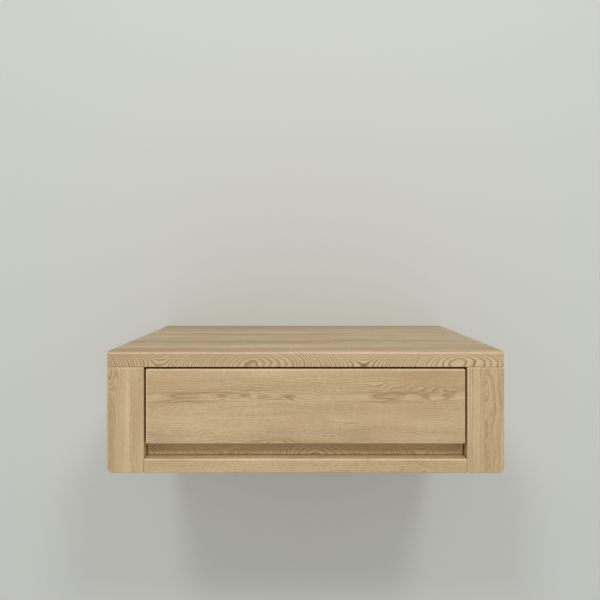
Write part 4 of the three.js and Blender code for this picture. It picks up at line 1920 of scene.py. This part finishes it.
@dataclass
class Studio:
    """The plain wall and floor, two soft lights, an even one from all round, and the camera."""

    wall_colour: Colour = (0.633, 0.647, 0.61)
    floor_colour: Colour = (0.62, 0.62, 0.60)
    wall_place: float = 0.5 * MM
    wall_reach: Pair = (3.0, 2.2)
    floor_level: float = -0.465
    light_places: tuple[Point, ...] = ((-0.443, -2.039, 1.374), (0.541, -2.039, 1.374))
    light_size: float = 0.38
    light_power: float = 11.0
    aim: Point = (0.0, -0.2, 0.01)
    light_all_round: float = 0.63
    camera_place: Point = (-0.006, -1.2985, 0.1917)
    lens: float = 42.88
    shift: Pair = (-0.0012, -0.0505)

    def build(self) -> None:
        """Sets the scene up round the cabinet."""
        bpy.context.scene.view_settings.view_transform = "Standard"
        self.camera()
        self.backdrop()
        self.world()
        for number, place in enumerate(self.light_places):
            self.light(f"light_{number + 1}", Vector(place))

    def camera(self) -> None:
        """A level camera that looks straight at the front."""
        data = bpy.data.cameras.new("camera")
        data.lens = self.lens
        data.shift_x, data.shift_y = self.shift
        camera = bpy.data.objects.new("camera", data)
        camera.location = self.camera_place
        camera.rotation_euler = (math.pi / 2, 0, 0)
        bpy.context.scene.collection.objects.link(camera)
        bpy.context.scene.camera = camera

    def backdrop(self) -> None:
        """The wall behind the cabinet, and the floor far below it."""
        side, height = self.wall_reach
        floor, top, wall = self.floor_level, self.floor_level + height, self.wall_place
        upright = [(-side, wall, floor), (side, wall, floor), (side, wall, top), (-side, wall, top)]
        flat = [(-side, -side, floor), (side, -side, floor), (side, wall, floor), (-side, wall, floor)]
        for name, points, colour in (
            ("wall", upright, self.wall_colour),
            ("floor", flat, self.floor_colour),
        ):
            thing = Shape(name, points, [(0, 1, 2, 3)]).thing
            thing.data.materials.append(self.plaster(name, colour))

    def plaster(self, name: str, colour: Colour) -> bpy.types.Material:
        """A dull coat that shows from its front and lets the light from all round through."""
        shader = Shader(bpy.data.materials.new(f"{name}_plaster"))
        back = Value(shader, shader.add("ShaderNodeNewGeometry").outputs["Backfacing"])
        dull = shader.add("ShaderNodeBsdfDiffuse", None, {"Color": colour})
        clear = shader.add("ShaderNodeBsdfTransparent")
        inputs = {0: self.seen(shader) * (1 - back), 1: clear.outputs[0], 2: dull.outputs[0]}
        surface = shader.add("ShaderNodeMixShader", None, inputs)
        shader.add("ShaderNodeOutputMaterial", None, {"Surface": surface.outputs[0]})
        return shader.owner

    def seen(self, shader: Shader) -> Value:
        """Finds the rays that show the backdrop: the camera's, and those through gloss or glass."""
        path = shader.add("ShaderNodeLightPath").outputs
        kinds = ("Camera", "Glossy", "Transmission")
        direct, gloss, glass = (Value(shader, path[f"Is {kind} Ray"]) for kind in kinds)
        return direct.above(gloss).above(glass)

    def world(self) -> None:
        """Even light from all round, which the camera sees as the wall's colour."""
        world = bpy.data.worlds.new("studio")
        bpy.context.scene.world = world
        shader = Shader(world)
        light = shader.add("ShaderNodeBackground", None, {0: (1, 1, 1), 1: self.light_all_round})
        pale = shader.add("ShaderNodeBackground", None, {0: self.wall_colour, 1: 1})
        inputs = {0: self.seen(shader), 1: light.outputs[0], 2: pale.outputs[0]}
        mixed = shader.add("ShaderNodeMixShader", None, inputs)
        shader.add("ShaderNodeOutputWorld", None, {"Surface": mixed.outputs[0]})

    def light(self, name: str, place: Vector) -> None:
        """A round light that is aimed at the cabinet."""
        data = bpy.data.lights.new(name, "AREA")
        data.shape = "DISK"
        data.size = self.light_size
        data.energy = self.light_power
        light = bpy.data.objects.new(name, data)
        light.location = place
        light.rotation_euler = (Vector(self.aim) - place).to_track_quat("-Z", "Y").to_euler()
        light.visible_camera = False
        bpy.context.scene.collection.objects.link(light)


def main() -> None:
    """Builds the studio, the cabinet, the drawer and the fittings in order."""
    logging.basicConfig(level=logging.INFO, format="%(message)s")
    for part in (Studio(), Cabinet(), Drawer(), Fittings()):
        LOG.info("Building the %s", type(part).__name__.lower())
        part.build()


if __name__ == "__main__":
    main()
